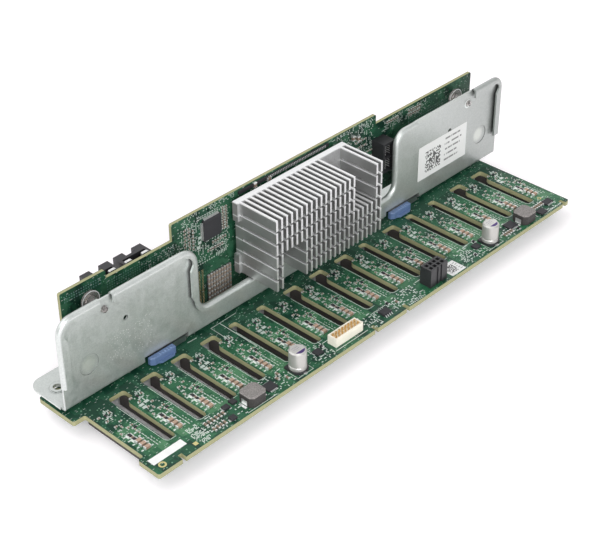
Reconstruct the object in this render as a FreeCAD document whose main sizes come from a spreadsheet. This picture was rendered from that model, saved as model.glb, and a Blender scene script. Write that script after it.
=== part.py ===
"""Drive backplane board of a server, in millimetres, +Z up.

A slotted main board lies on its row of drive connectors. A folded steel bracket stands on the
rear strip of the board, held by shouldered rivets, and a second board, the expander, stands
behind it with a cross-cut heat sink on its front. Lengths below are measured from the datum of
the main board: the front left corner of its top face, X along it, Y to the back. Every piece is
then set down by the same shift, so that the origin of the model lies midway along and across
the whole assembly, on the plane of the drive connectors' mouths.
"""
import FreeCAD
import Part
import Sketcher
import math
import os

Vector = FreeCAD.Vector

DRIVING_SIZES = [
    # main board
    ("board_length", 273.5, "right edge of the main board"),
    ("board_depth", 71.0, "front edge to back edge"),
    ("board_thick", 2.4, "main board thickness"),
    ("board_corner", 1.0, "corner radius of the board outline"),
    ("front_tab_depth", 12.4, "depth of the front left tab"),
    ("left_step", 3.0, "how far the left edge steps in behind the front tab"),
    ("rear_tab_reach", 3.0, "how far the rear left tab stands out"),
    ("rear_tab_depth", 22.5, "depth of the rear left tab"),
    ("kerf_width", 2.0, "break-off notch in the front edge"),
    ("kerf_depth", 3.0, "depth of that notch"),
    ("kerf_end_inset", 13.5, "first notch from the left end"),
    ("kerf_last_inset", 4.0, "last notch from the right end"),
    ("kerf_middle", 139.0, "middle of the two inner notches"),
    ("kerf_spacing", 21.4, "distance between the two inner notches"),
    # air slots
    ("slot_pitch", 17.2, "drive pitch"),
    ("slot_first", 15.75, "left edge of the first slot"),
    ("slot_front", 12.6, "front end of the slots"),
    ("slot_back", 49.3, "back end of the slots"),
    ("slot_width", 4.9, "narrow width"),
    ("slot_corner", 1.5, "cutter radius in the corners"),
    ("head_width", 8.7, "width of the wide back end"),
    ("head_front", 43.6, "front of the wide back end"),
    ("shoulder_radius", 3.2, "rounding where a slot widens"),
    # drive connectors
    ("plug_width", 5.7, "drive connector width"),
    ("plug_length", 43.0, "drive connector length"),
    ("plug_height", 7.6, "drive connector height below the board"),
    ("plug_front", 9.0, "front end of the drive connectors"),
    ("blade_width", 2.4, "width of the blade slot"),
    ("blade_depth", 5.6, "depth of the blade slot"),
    ("blade_signal", 10.6, "length of the signal part"),
    ("blade_power", 20.4, "length of the power part"),
    ("blade_key", 1.6, "wall between both parts"),
    ("guide_slot", 3.6, "guide post pocket at each end"),
    ("plug_chamfer", 0.8, "lead-in on the long lower edges"),
    # bracket
    ("sheet", 1.0, "sheet thickness of the bracket"),
    ("wall_front", 54.2, "front face of the bracket wall"),
    ("spacer", 1.4, "gap between board and flange"),
    ("bend_radius", 0.6, "inner radius of the bend"),
    ("wall_left", -1.3, "fold line of the left edge"),
    ("wall_right", 281.6, "fold line of the right edge"),
    ("wall_top", 45.9, "fold line of the top edge"),
    ("notch_left", 71.0, "fold line left of the notch"),
    ("notch_right", 202.1, "fold line right of the notch"),
    ("notch_floor", 12.9, "fold line of the notch floor"),
    ("foot_left", -1.9, "plain left edge below the hem"),
    ("foot_right", 282.6, "plain right edge below the hem"),
    ("foot_top", 13.2, "top of the plain lower edges"),
    ("skirt_top", 8.0, "height to which the wall runs full width"),
    ("plain_start", 216.6, "start of the plain top edge"),
    ("plain_end", 260.2, "end of the plain top edge"),
    ("plain_top", 46.7, "height of the plain top edge"),
    ("radius_top_left", 6.5, "corner radii along the fold line"),
    ("radius_left_inner", 7.0, "left part, beside the notch"),
    ("radius_notch_left", 6.7, "notch floor, left"),
    ("radius_notch_right", 7.5, "notch floor, right"),
    ("radius_right_inner", 6.0, "right part, beside the notch"),
    ("radius_top_right", 5.0, "right part, outer"),
    ("hem_inside", 0.6, "inner radius of the open hem"),
    ("hem_leg", 3.0, "return leg on straight stretches"),
    ("hem_leg_corner", 1.4, "return leg round the corners"),
    ("hem_leg_floor", 2.3, "return leg on the notch floor"),
    ("hem_ramp", 3.0, "length over which the return leg narrows"),
    ("hem_foot", 14.0, "height where the side hems begin"),
    ("hem_gap_start", 19.2, "end of the left hem on the top edge"),
    ("hem_gap_end", 26.0, "start of the middle hem on the top edge"),
    ("hem_plain_start", 216.0, "end of the middle hem"),
    ("hem_plain_end", 260.8, "start of the right hem"),
    ("hem_stub", 0.5, "stretch of sheet carried on past each fold"),
    ("flange_back", 79.0, "back edge of the flange"),
    ("flange_left", -2.6, "left end of the flange"),
    ("flange_step", 57.0, "where the flange widens behind the bend"),
    ("flange_corner", 6.0, "corner radius of the flange"),
    ("fix_left", 4.8, "left chassis hole"),
    ("fix_right", 277.4, "right chassis hole"),
    ("fix_back", 68.0, "distance of the chassis holes behind the datum"),
    ("fix_radius", 2.0, "chassis hole radius"),
    ("fix_ring_radius", 3.2, "raised ring round a chassis hole"),
    ("fix_ring_height", 0.6, "height of that ring"),
    ("fix_relief_radius", 2.7, "clearance hole below it in the board"),
    ("mark_radius", 5.0, "round pressed marks"),
    ("mark_depth", 0.2, "depth of the pressed marks"),
    ("mark_left", 12.1, "left mark"),
    ("mark_right", 268.8, "right mark"),
    ("mark_height", 18.2, "height of the marks"),
    ("tool_hole_radius", 1.3, "plain holes in the wall"),
    ("tool_hole_left", 32.9, "left plain hole"),
    ("tool_hole_right", 243.9, "right plain hole"),
    ("tool_hole_height", 30.6, "height of the plain holes"),
    # expander board
    ("expander_front", 64.5, "front face of the expander"),
    ("expander_thick", 1.6, "expander thickness"),
    ("expander_left", 8.8, "left end"),
    ("expander_right", 272.0, "right end"),
    ("expander_step_one", 32.5, "first step of the top edge"),
    ("expander_step_two", 69.0, "second step"),
    ("expander_step_three", 199.5, "third step"),
    ("expander_top_left", 49.6, "top of the left stretch"),
    ("expander_top_low", 45.6, "top of the low stretch"),
    ("expander_top", 53.8, "top of the raised stretch"),
    ("expander_top_right", 48.8, "top of the right stretch"),
    ("expander_foot", 4.5, "lower edge between the links"),
    ("expander_foot_ends", 9.6, "lower edge above the links"),
    ("expander_corner", 0.8, "corner radius of the expander outline"),
    ("tongue_foot", 3.0, "lower end of the tongues"),
    ("tongue_end_gap", 0.1, "play of a tongue in its link"),
    # links
    ("link_left", 17.0, "left end of the left link"),
    ("link_left_length", 46.0, "length of the left link"),
    ("link_right", 231.0, "left end of the right link"),
    ("link_right_length", 32.0, "length of the right link"),
    ("link_height", 9.0, "height of the links"),
    ("link_depth", 9.4, "depth of the links"),
    ("link_wall", 0.9, "end wall of a link"),
    ("link_floor", 2.9, "floor under the tongue"),
    ("link_gap", 0.05, "gap on each side of the tongue"),
    ("link_room", 1.0, "room round a link in the flange window"),
    # rivets
    ("rivet_radius", 1.5, "shank radius"),
    ("rivet_gap", 0.05, "clearance of the shank in its holes"),
    ("rivet_head_radius", 2.6, "head and shoulder radius"),
    ("rivet_head", 0.8, "head height"),
    ("rivet_back", 62.0, "row of the rivets behind the datum"),
    ("rivet_left", 11.0, "first rivet"),
    ("rivet_middle", 137.0, "middle rivet"),
    ("rivet_right", 269.5, "last rivet"),
    # release latches
    ("latch_spacing", 156.0, "left latch to right latch"),
    ("window_left", 41.0, "left end of the left latch window"),
    ("window_length", 25.0, "length of a latch window"),
    ("window_top", 4.8, "top of a latch window"),
    ("window_back", 58.2, "how far it reaches into the flange"),
    ("lever_thick", 0.8, "lever plate thickness"),
    ("lever_lift", 0.3, "clearance of the lever above the flange"),
    ("lever_front", 52.0, "front end of the lever tab"),
    ("lever_lip_left", 57.0, "left end of the lever lip"),
    ("lever_lip_right", 64.6, "right end of the lever lip"),
    ("lever_lip_front", 54.4, "front face of the lever lip"),
    ("lever_lip_foot", 0.8, "lower end of the lever lip"),
    ("lever_tab_left", 44.4, "left end of the lever tab"),
    ("lever_tab_right", 54.4, "right end of the lever tab"),
    ("lever_waist", 56.8, "back edge of the lever at its free end"),
    ("pivot_x", 70.0, "left lever pivot"),
    ("pivot_y", 60.0, "lever pivot behind the datum"),
    ("pivot_eye", 3.0, "radius of the lever round its pivot"),
    ("pivot_radius", 1.4, "pivot shank radius"),
    ("pivot_gap", 0.06, "running clearance of the lever on its pivot"),
    ("pivot_head_radius", 2.5, "pivot head radius"),
    ("pivot_head", 0.6, "pivot head height"),
    ("cap_left", 42.4, "left end of the cap"),
    ("cap_right", 56.2, "right end of the cap"),
    ("cap_front", 50.0, "front of the cap"),
    ("cap_back", 54.0, "back of the cap"),
    ("cap_foot", 0.7, "lower face of the cap"),
    ("cap_top", 4.4, "top face of the cap"),
    ("cap_bevel", 1.6, "bevel of the cap's left end"),
    ("cap_edge", 0.6, "rounding of the cap"),
    ("cap_lip_depth", 1.1, "lower lip in front of the cap's face"),
    ("cap_lip_height", 1.3, "height of that lip"),
    # standoffs
    ("standoff_left", 22.2, "left standoff"),
    ("standoff_right", 257.6, "right standoff"),
    ("standoff_height", 40.8, "height of the standoffs"),
    ("standoff_pin", 1.3, "snap pin radius"),
    ("standoff_gap", 0.1, "clearance of the snap pin in its holes"),
    ("standoff_column", 2.2, "column radius"),
    ("standoff_disc", 4.5, "disc radius"),
    ("standoff_disc_thick", 1.0, "disc thickness"),
    ("standoff_disc_gap", 1.4, "disc to expander"),
    ("standoff_snap", 1.6, "snap head radius"),
    ("standoff_snap_length", 1.2, "snap head length"),
    # heat sink
    ("sink_left", 102.0, "left edge of the base"),
    ("sink_width", 70.5, "base width"),
    ("sink_foot", 14.9, "lower edge"),
    ("sink_height", 36.8, "height of the sink"),
    ("sink_base", 3.0, "base thickness"),
    ("sink_reach", 22.2, "fin length in front of the base"),
    ("sink_ear", 1.4, "how far the ears stand out beside the first fin"),
    ("sink_ear_height", 9.6, "height of an ear"),
    ("fin_thick", 1.1, "fin thickness"),
    ("fin_pitch", 3.08, "fin pitch"),
    ("cut_width", 0.9, "width of the cross cuts"),
    ("cut_land", 1.5, "fin left uncut above the base"),
    ("bay_first", 2.0, "fins left of the lower bay"),
    ("bay_fins", 4.0, "fins taken out for a bay"),
    ("bay_right_first", 17.0, "fins left of the upper bay"),
    ("chip_thick", 2.5, "package under the heat sink"),
    ("chip_side", 26.0, "side of that package"),
    ("chip_left", 122.0, "left edge of that package"),
    ("chip_foot", 20.0, "lower edge of that package"),
    ("thermal_thick", 0.3, "thermal pad"),
    ("thermal_margin", 1.0, "pad margin inside the package"),
    ("pushpin_radius", 1.5, "push pin shank"),
    ("pushpin_gap", 0.1, "clearance of the shank in its holes"),
    ("pushpin_head", 2.8, "push pin head radius"),
    ("pushpin_head_thick", 1.4, "push pin head thickness"),
    ("pushpin_spring_room", 4.0, "shank between head and base"),
    ("pushpin_barb", 2.0, "barb radius behind the expander"),
    ("pushpin_barb_length", 2.2, "barb length"),
    # parts on the main board
    ("can_radius", 4.0, "capacitor can radius"),
    ("can_height", 9.3, "capacitor can height"),
    ("can_shoulder", 0.6, "bevel at the top of the can"),
    ("can_groove_height", 1.2, "height of the crimp groove"),
    ("can_groove_depth", 0.35, "depth of the crimp groove"),
    ("can_groove_width", 0.9, "width of the crimp groove"),
    ("can_base_side", 8.3, "side of the capacitor base"),
    ("can_base_height", 1.2, "height of the capacitor base"),
    ("can_base_cut", 1.8, "cut corners of the capacitor base"),
    ("can_left", 84.4, "left capacitor"),
    ("can_right", 217.0, "right capacitor"),
    ("can_front", 6.1, "capacitor centres behind the front edge"),
    ("coil_width", 9.6, "inductor width"),
    ("coil_depth", 8.9, "inductor depth"),
    ("coil_height", 5.2, "inductor height"),
    ("coil_cut", 1.6, "cut corner of an inductor"),
    ("coil_bevel", 0.5, "bevel round its top"),
    ("coil_left", 52.2, "left inductor"),
    ("coil_right", 239.0, "right inductor"),
    ("coil_front", 1.2, "inductors behind the front edge"),
    ("power_left", 167.8, "power connector"),
    ("power_front", 2.0, "power connector behind the front edge"),
    ("power_width", 11.7, "power connector width"),
    ("power_depth", 6.5, "power connector depth"),
    ("power_height", 9.5, "power connector height"),
    ("power_pitch", 2.6, "contact pitch"),
    ("power_cavity", 1.8, "cavity side"),
    ("power_cavity_depth", 7.0, "cavity depth"),
    ("power_groove", 1.2, "grooves on the front face"),
    ("power_groove_depth", 0.5, "depth of those grooves"),
    ("power_pin", 0.6, "contact pin side"),
    ("power_pin_length", 5.0, "contact pin length inside a cavity"),
    ("header_left", 106.0, "signal header"),
    ("header_front", 3.7, "signal header behind the front edge"),
    ("header_width", 17.3, "signal header width"),
    ("header_depth", 5.2, "signal header depth"),
    ("header_height", 4.5, "signal header height"),
    ("header_wall", 0.7, "wall of the header trough"),
    ("header_trough", 2.2, "depth of the header trough"),
    ("header_pitch", 2.0, "pin pitch"),
    ("header_pin", 0.6, "pin side"),
    ("header_pin_top", 5.2, "top of the pins"),
    # parts on the expander
    ("qfp_left", 86.2, "quad flat package"),
    ("qfp_foot", 37.4, "its lower edge"),
    ("qfp_side", 10.4, "its side"),
    ("qfp_thick", 1.6, "its thickness"),
    ("qfp_bevel", 0.4, "bevel round its face"),
    ("port_left", 197.0, "front connector of the expander"),
    ("port_width", 8.0, "its width"),
    ("port_reach", 7.5, "its reach in front of the expander"),
    ("port_foot", 25.0, "its lower end"),
    ("port_height", 16.0, "its height"),
    ("port_wall", 1.1, "its wall"),
    ("port_depth", 5.0, "depth of its cavities"),
    ("port_rib", 1.0, "rib between its cavities"),
    ("cable_left", 27.0, "outer cable connector"),
    ("cable_pitch", 18.0, "outer to inner cable connector"),
    ("cable_width", 15.0, "its width"),
    ("cable_reach", 8.9, "its reach behind the expander"),
    ("cable_foot", 28.0, "its lower end"),
    ("cable_height", 16.4, "its height"),
    ("cable_wall", 1.4, "its wall"),
    ("cable_socket", 3.2, "width of its socket"),
    ("cable_socket_depth", 8.0, "depth of its socket"),
    ("cable_latch", 5.0, "width of its latch notch"),
    ("cable_latch_depth", 2.4, "depth of its latch notch"),
    ("so8_left", 137.0, "eight-lead package"),
    ("so8_front", 3.0, "its front edge"),
    ("so8_width", 5.0, "its width"),
    ("so8_depth", 4.0, "its depth"),
    ("so8_thick", 1.5, "its height"),
    ("so8_bevel", 0.3, "bevel round its top"),
    ("chip_height", 0.9, "small chips on the main board"),
    ("ceramic_length", 3.2, "ceramic capacitors, across the strip"),
    ("ceramic_width", 1.7, "ceramic capacitors, along the strip"),
    ("ceramic_height", 1.3, "ceramic capacitor height"),
    ("ceramic_pitch", 2.6, "spacing along the strip"),
    ("ceramic_front", 15.2, "first ceramic capacitor"),
    ("ceramic_inset", 4.0, "from the strip's left edge"),
]

SLOTS = 15
WIDE_SLOTS = {1, 2, 3, 4, 7, 8, 9, 11, 14, 15}
FINS = 23
FIN_ROWS = 6
BAY_ROWS = 3
CERAMICS_PER_STRIP = 3
HEADER_COLUMNS = 8
POWER_COLUMNS = 4
FULL_TURN = 360.0
MARGIN = 1.0
TOUCHING = 1e-6

doc = FreeCAD.newDocument("drive_backplane_board")
sheet = doc.addObject("Spreadsheet::Sheet", "Sizes")
nodes = []


class Size:
    """A length that knows its number and the expression that works it out."""

    def __init__(self, text, value):
        self.text = text
        self.value = value

    def __add__(self, other):
        return join(self, "+", other)

    def __radd__(self, other):
        return join(other, "+", self)

    def __sub__(self, other):
        return join(self, "-", other)

    def __rsub__(self, other):
        return join(other, "-", self)

    def __mul__(self, other):
        return join(self, "*", other)

    def __rmul__(self, other):
        return join(other, "*", self)

    def __truediv__(self, other):
        return join(self, "/", other)

    def __neg__(self):
        return join(0, "-", self)


def size(value):
    """A plain number as a Size."""
    if isinstance(value, Size):
        return value
    return Size(f"({float(value)})", float(value))


def join(left, sign, right):
    """Two lengths joined by an arithmetic sign, in both forms."""
    left = size(left)
    right = size(right)
    results = {
        "+": left.value + right.value,
        "-": left.value - right.value,
        "*": left.value * right.value,
    }
    if sign == "/":
        results["/"] = left.value / right.value
    return Size(f"({left.text} {sign} {right.text})", results[sign])


class DrivingSizes:
    """The driving sizes by name, each tied to its cell in the sheet."""

    def __init__(self, rows):
        for row, (name, value, note) in enumerate(rows, start=1):
            sheet.set(f"A{row}", name)
            sheet.set(f"B{row}", str(value))
            sheet.set(f"C{row}", note)
            sheet.setAlias(f"B{row}", name)
            setattr(self, name, Size(f"Sizes.{name}", value))


s = DrivingSizes(DRIVING_SIZES)
doc.recompute()

# What follows from the driving sizes, measured from the board's datum
wall_back = s.wall_front + s.sheet
flange_top = s.spacer + s.sheet
hem_outside = s.hem_inside + s.sheet
hem_centre = wall_back - hem_outside
leg_back = hem_centre - s.hem_inside
expander_back = s.expander_front + s.expander_thick
sink_back = s.expander_front - s.chip_thick - s.thermal_thick
sink_front = sink_back - s.sink_base
sink_top = s.sink_foot + s.sink_height
sink_tips = sink_front - s.sink_reach
row_pitch = (s.sink_height + s.cut_width) / FIN_ROWS
lever_foot = flange_top + s.lever_lift
lever_top = lever_foot + s.lever_thick

# The origin: midway along and across the assembly, on the plane of the connectors' mouths
overall_left = -s.rear_tab_reach
overall_right = s.wall_right + hem_outside
datum_x = -(overall_left + overall_right) / 2
datum_y = -s.flange_back / 2
datum_z = s.board_thick + s.plug_height


def bind(item, path, length):
    """Tie one property of a document object to a size."""
    item.setExpression(path, size(length).text)


def place(item, x=0.0, y=0.0, z=0.0):
    """Set an object down at a point measured from the board's datum."""
    bind(item, "Placement.Base.x", datum_x + x)
    bind(item, "Placement.Base.y", datum_y + y)
    bind(item, "Placement.Base.z", datum_z + z)


def new_body(name, x=0.0, y=0.0, z=0.0, node=True):
    """An empty body, set down at a point measured from the board's datum."""
    body = doc.addObject("PartDesign::Body", name)
    body.Label = name
    place(body, x, y, z)
    if node:
        nodes.append(body)
    return body


def new_sketch(body, name, plane, offset=0.0):
    """A sketch on one of the body's own origin planes, moved along that plane's normal."""
    sketch = body.newObject("Sketcher::SketchObject", name)
    for item in body.Origin.OriginFeatures:
        if item.Role == plane:
            sketch.AttachmentSupport = [(item, "")]
    sketch.MapMode = "FlatFace"
    bind(sketch, "AttachmentOffset.Base.z", offset)
    return sketch


def fix_point(sketch, geometry, position, x=None, y=None):
    """Hold a point of the sketch at distances from its origin."""
    for kind, length in (("DistanceX", x), ("DistanceY", y)):
        if length is None:
            continue
        length = size(length)
        index = sketch.addConstraint(
            Sketcher.Constraint(kind, -1, 1, geometry, position, length.value))
        sketch.setExpression(f"Constraints[{index}]", length.text)


def fix_radius(sketch, geometry, length):
    """Hold the radius of a circle or an arc."""
    length = size(length)
    index = sketch.addConstraint(Sketcher.Constraint("Radius", geometry, length.value))
    sketch.setExpression(f"Constraints[{index}]", length.text)


def main_direction(start, end):
    """The axis direction nearest to the line from one corner to the next."""
    across = size(end[0]).value - size(start[0]).value
    along = size(end[1]).value - size(start[1]).value
    if abs(across) >= abs(along):
        return (math.copysign(1, across), 0)
    return (0, math.copysign(1, along))


def draw_corner(sketch, before, corner, after):
    """Round one corner; gives the arc and its ends in the order of travel."""
    x, y, radius = corner
    into = main_direction(before, corner)
    out = main_direction(corner, after)
    centre = (x + radius * (out[0] - into[0]), y + radius * (out[1] - into[1]))
    turn = into[0] * out[1] - into[1] * out[0]
    towards_entry = math.atan2(-out[1], -out[0])
    towards_exit = math.atan2(into[1], into[0])
    angles = (towards_entry, towards_exit) if turn > 0 else (towards_exit, towards_entry)
    circle = Part.Circle(Vector(centre[0].value, centre[1].value, 0), Vector(0, 0, 1),
                         size(radius).value)
    if angles[1] <= angles[0]:
        angles = (angles[0], angles[1] + 2 * math.pi)
    arc = sketch.addGeometry(Part.ArcOfCircle(circle, *angles), False)
    entry, leave = (1, 2) if turn > 0 else (2, 1)
    fix_point(sketch, arc, 3, *centre)
    fix_radius(sketch, arc, radius)
    for position, direction in ((entry, into), (leave, out)):
        if direction[0]:
            fix_point(sketch, arc, position, x=centre[0])
        else:
            fix_point(sketch, arc, position, y=centre[1])
    entry_point = (x - radius * into[0], y - radius * into[1])
    exit_point = (x + radius * out[0], y + radius * out[1])
    return (arc, entry, entry_point), (arc, leave, exit_point)


def draw_path(sketch, corners, closed=True):
    """Lines between corners, each an (x, y) or an (x, y, radius) rounded by a quarter arc."""
    count = len(corners)
    ends = []
    for index, corner in enumerate(corners):
        if len(corner) == 3:
            ends.append(draw_corner(sketch, corners[index - 1], corner,
                                    corners[(index + 1) % count]))
        else:
            ends.append(((None, None, corner), (None, None, corner)))
    first_line = None
    previous = None
    for index in range(count if closed else count - 1):
        start = ends[index][1]
        finish = ends[(index + 1) % count][0]
        points = [Vector(size(p[0]).value, size(p[1]).value, 0) for p in (start[2], finish[2])]
        if points[0].distanceToPoint(points[1]) < TOUCHING:
            continue
        line = sketch.addGeometry(Part.LineSegment(*points), False)
        if first_line is None:
            first_line = line
        if start[0] is not None:
            sketch.addConstraint(Sketcher.Constraint("Coincident", line, 1, start[0], start[1]))
        else:
            fix_point(sketch, line, 1, *start[2])
            if previous is not None:
                sketch.addConstraint(Sketcher.Constraint("Coincident", previous, 2, line, 1))
        if finish[0] is not None:
            sketch.addConstraint(Sketcher.Constraint("Coincident", line, 2, finish[0], finish[1]))
        previous = line
    if not closed:
        fix_point(sketch, previous, 2, *ends[-1][0][2])
    elif ends[0][1][0] is None:
        sketch.addConstraint(Sketcher.Constraint("Coincident", previous, 2, first_line, 1))


def outline(body, name, plane, offset, corners):
    """A sketch that holds one closed outline."""
    sketch = new_sketch(body, name, plane, offset)
    draw_path(sketch, corners)
    return sketch


def circles(body, name, plane, offset, discs):
    """A sketch of full circles, each an (x, y, radius)."""
    sketch = new_sketch(body, name, plane, offset)
    for x, y, radius in discs:
        disc = Part.Circle(Vector(size(x).value, size(y).value, 0), Vector(0, 0, 1),
                           size(radius).value)
        index = sketch.addGeometry(disc, False)
        fix_point(sketch, index, 3, x, y)
        fix_radius(sketch, index, radius)
    return sketch


def rectangle(left, low, width, height):
    """The four corners of a rectangle."""
    right = left + width
    high = low + height
    return [(left, low), (right, low), (right, high), (left, high)]


def extrude(body, kind, sketch, length, backwards):
    """Add a pad or a pocket of the given length."""
    feature = body.newObject(f"PartDesign::{kind}", f"{sketch.Name}_{kind.lower()}")
    feature.Profile = sketch
    feature.Reversed = backwards
    bind(feature, "Length", length)
    return feature


def pad(body, sketch, length, backwards=False):
    """Add material along the sketch's normal, or against it."""
    return extrude(body, "Pad", sketch, length, backwards)


def pocket(body, sketch, length, backwards=False):
    """Take material away against the sketch's normal, or along it."""
    return extrude(body, "Pocket", sketch, length, backwards)


def revolve(body, sketch):
    """Turn a sketch round its own vertical axis."""
    feature = body.newObject("PartDesign::Revolution", f"{sketch.Name}_turned")
    feature.Profile = sketch
    feature.ReferenceAxis = (sketch, ["V_Axis"])
    feature.Angle = FULL_TURN
    return feature


def row_pattern(body, feature, axis_name, count, pitch):
    """Repeat a feature along one of the body's own axes."""
    pattern = body.newObject("PartDesign::LinearPattern", f"{feature.Name}_row")
    pattern.Originals = [feature]
    for item in body.Origin.OriginFeatures:
        if item.Role == axis_name:
            pattern.Direction = (item, [""])
    pattern.Occurrences = count
    bind(pattern, "Length", pitch * (count - 1))
    body.Tip = pattern
    return pattern


def dress(body, kind, test, length):
    """Fillet or chamfer every edge of the body's last feature that passes a test."""
    doc.recompute()
    base = body.Tip
    names = []
    for number, edge in enumerate(base.Shape.Edges, start=1):
        if test(edge):
            names.append(f"Edge{number}")
    feature = body.newObject(f"PartDesign::{kind}", f"{body.Name}_{kind.lower()}")
    feature.Base = (base, names)
    bind(feature, "Radius" if kind == "Fillet" else "Size", length)
    return feature


def edges_at(height, axis="z"):
    """A test for edges that lie in a plane across the given axis."""
    level = size(height).value

    def test(edge):
        box = edge.BoundBox
        low = getattr(box, f"{axis.upper()}Min")
        high = getattr(box, f"{axis.upper()}Max")
        return abs(low - level) < 0.01 and abs(high - level) < 0.01

    return test


def box(name, x, y, z, width, depth, height, node=True):
    """A plain block, set down by its lowest corner."""
    block = doc.addObject("Part::Box", name)
    block.Label = name
    bind(block, "Length", width)
    bind(block, "Width", depth)
    bind(block, "Height", height)
    place(block, x, y, z)
    if node:
        nodes.append(block)
    return block


def group(name, members):
    """Several separate solids kept together as one node."""
    compound = doc.addObject("Part::Compound", name)
    compound.Label = name
    compound.Links = members
    nodes.append(compound)
    return compound


# ---------------------------------------------------------------- main board

def slot_left(number):
    """Left edge of a slot, counted from 1."""
    return s.slot_first + s.slot_pitch * (number - 1)


def kerf_corners(centre):
    """The corners that one notch puts into the front edge, from left to right."""
    left = centre - s.kerf_width / 2
    right = centre + s.kerf_width / 2
    return [(left, size(0)), (left, s.kerf_depth), (right, s.kerf_depth), (right, size(0))]


def make_main_board():
    body = new_body("backplane_board")
    corners = [(size(0), size(0), s.board_corner)]
    for centre in (s.kerf_end_inset, s.kerf_middle - s.kerf_spacing / 2,
                   s.kerf_middle + s.kerf_spacing / 2, s.board_length - s.kerf_last_inset):
        corners += kerf_corners(centre)
    rear_tab_front = s.board_depth - s.rear_tab_depth
    corners += [
        (s.board_length, size(0), s.board_corner),
        (s.board_length, s.board_depth, s.board_corner),
        (-s.rear_tab_reach, s.board_depth, s.board_corner),
        (-s.rear_tab_reach, rear_tab_front, s.board_corner),
        (s.left_step, rear_tab_front, s.board_corner),
        (s.left_step, s.front_tab_depth, s.board_corner),
        (size(0), s.front_tab_depth, s.board_corner),
    ]
    pad(body, outline(body, "board_outline", "XY_Plane", 0, corners), s.board_thick, True)
    for number in range(1, SLOTS + 1):
        left = slot_left(number)
        right = left + s.slot_width
        corners = [(left, s.slot_front, s.slot_corner), (right, s.slot_front, s.slot_corner)]
        if number in WIDE_SLOTS:
            head_right = left + s.head_width
            corners += [(right, s.head_front, s.shoulder_radius),
                        (head_right, s.head_front),
                        (head_right, s.slot_back, s.slot_corner)]
        else:
            corners += [(right, s.slot_back, s.slot_corner)]
        corners += [(left, s.slot_back, s.slot_corner)]
        pocket(body, outline(body, f"slot_{number}", "XY_Plane", 0, corners), s.board_thick)
    hole_radius = s.rivet_radius + s.rivet_gap
    holes = [(x, s.rivet_back, hole_radius) for x in rivet_places()]
    holes.append((s.fix_left, s.fix_back, s.fix_relief_radius))
    pocket(body, circles(body, "board_holes", "XY_Plane", 0, holes), s.board_thick)


# ---------------------------------------------------------------- drive connectors

def make_drive_connector(number):
    """One receptacle: its mouth faces down, with blade slots and a guide pocket at each end."""
    centre = slot_left(number) - (s.slot_pitch - s.slot_width) / 2
    body = new_body(f"drive_connector_{number:02d}", centre, s.plug_front,
                    -s.board_thick - s.plug_height)
    half = s.plug_width / 2
    section = [
        (-half + s.plug_chamfer, size(0)), (half - s.plug_chamfer, size(0)),
        (half, s.plug_chamfer), (half, s.plug_height),
        (-half, s.plug_height), (-half, s.plug_chamfer),
    ]
    shell = outline(body, f"shell_{number}", "XZ_Plane", 0, section)
    pad(body, shell, s.plug_length, True)
    blade_length = s.blade_signal + s.blade_key + s.blade_power
    start = (s.plug_length - blade_length) / 2
    slots = new_sketch(body, f"blades_{number}", "XY_Plane", 0)
    half_blade = s.blade_width / 2
    draw_path(slots, rectangle(-half_blade, start, s.blade_width, s.blade_signal))
    draw_path(slots, rectangle(-half_blade, start + s.blade_signal + s.blade_key,
                               s.blade_width, s.blade_power))
    pocket(body, slots, s.blade_depth, True)
    guides = new_sketch(body, f"guides_{number}", "XY_Plane", 0)
    width = s.plug_width - s.plug_chamfer * 2 - s.blade_width / 2
    draw_path(guides, rectangle(-width / 2, size(0), width, s.guide_slot))
    draw_path(guides, rectangle(-width / 2, s.plug_length - s.guide_slot, width, s.guide_slot))
    pocket(body, guides, s.blade_depth / 2, True)


# ---------------------------------------------------------------- bracket

def rivet_places():
    """Where the rivets stand along the board."""
    return [s.rivet_left, s.rivet_middle, s.rivet_right]


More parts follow.
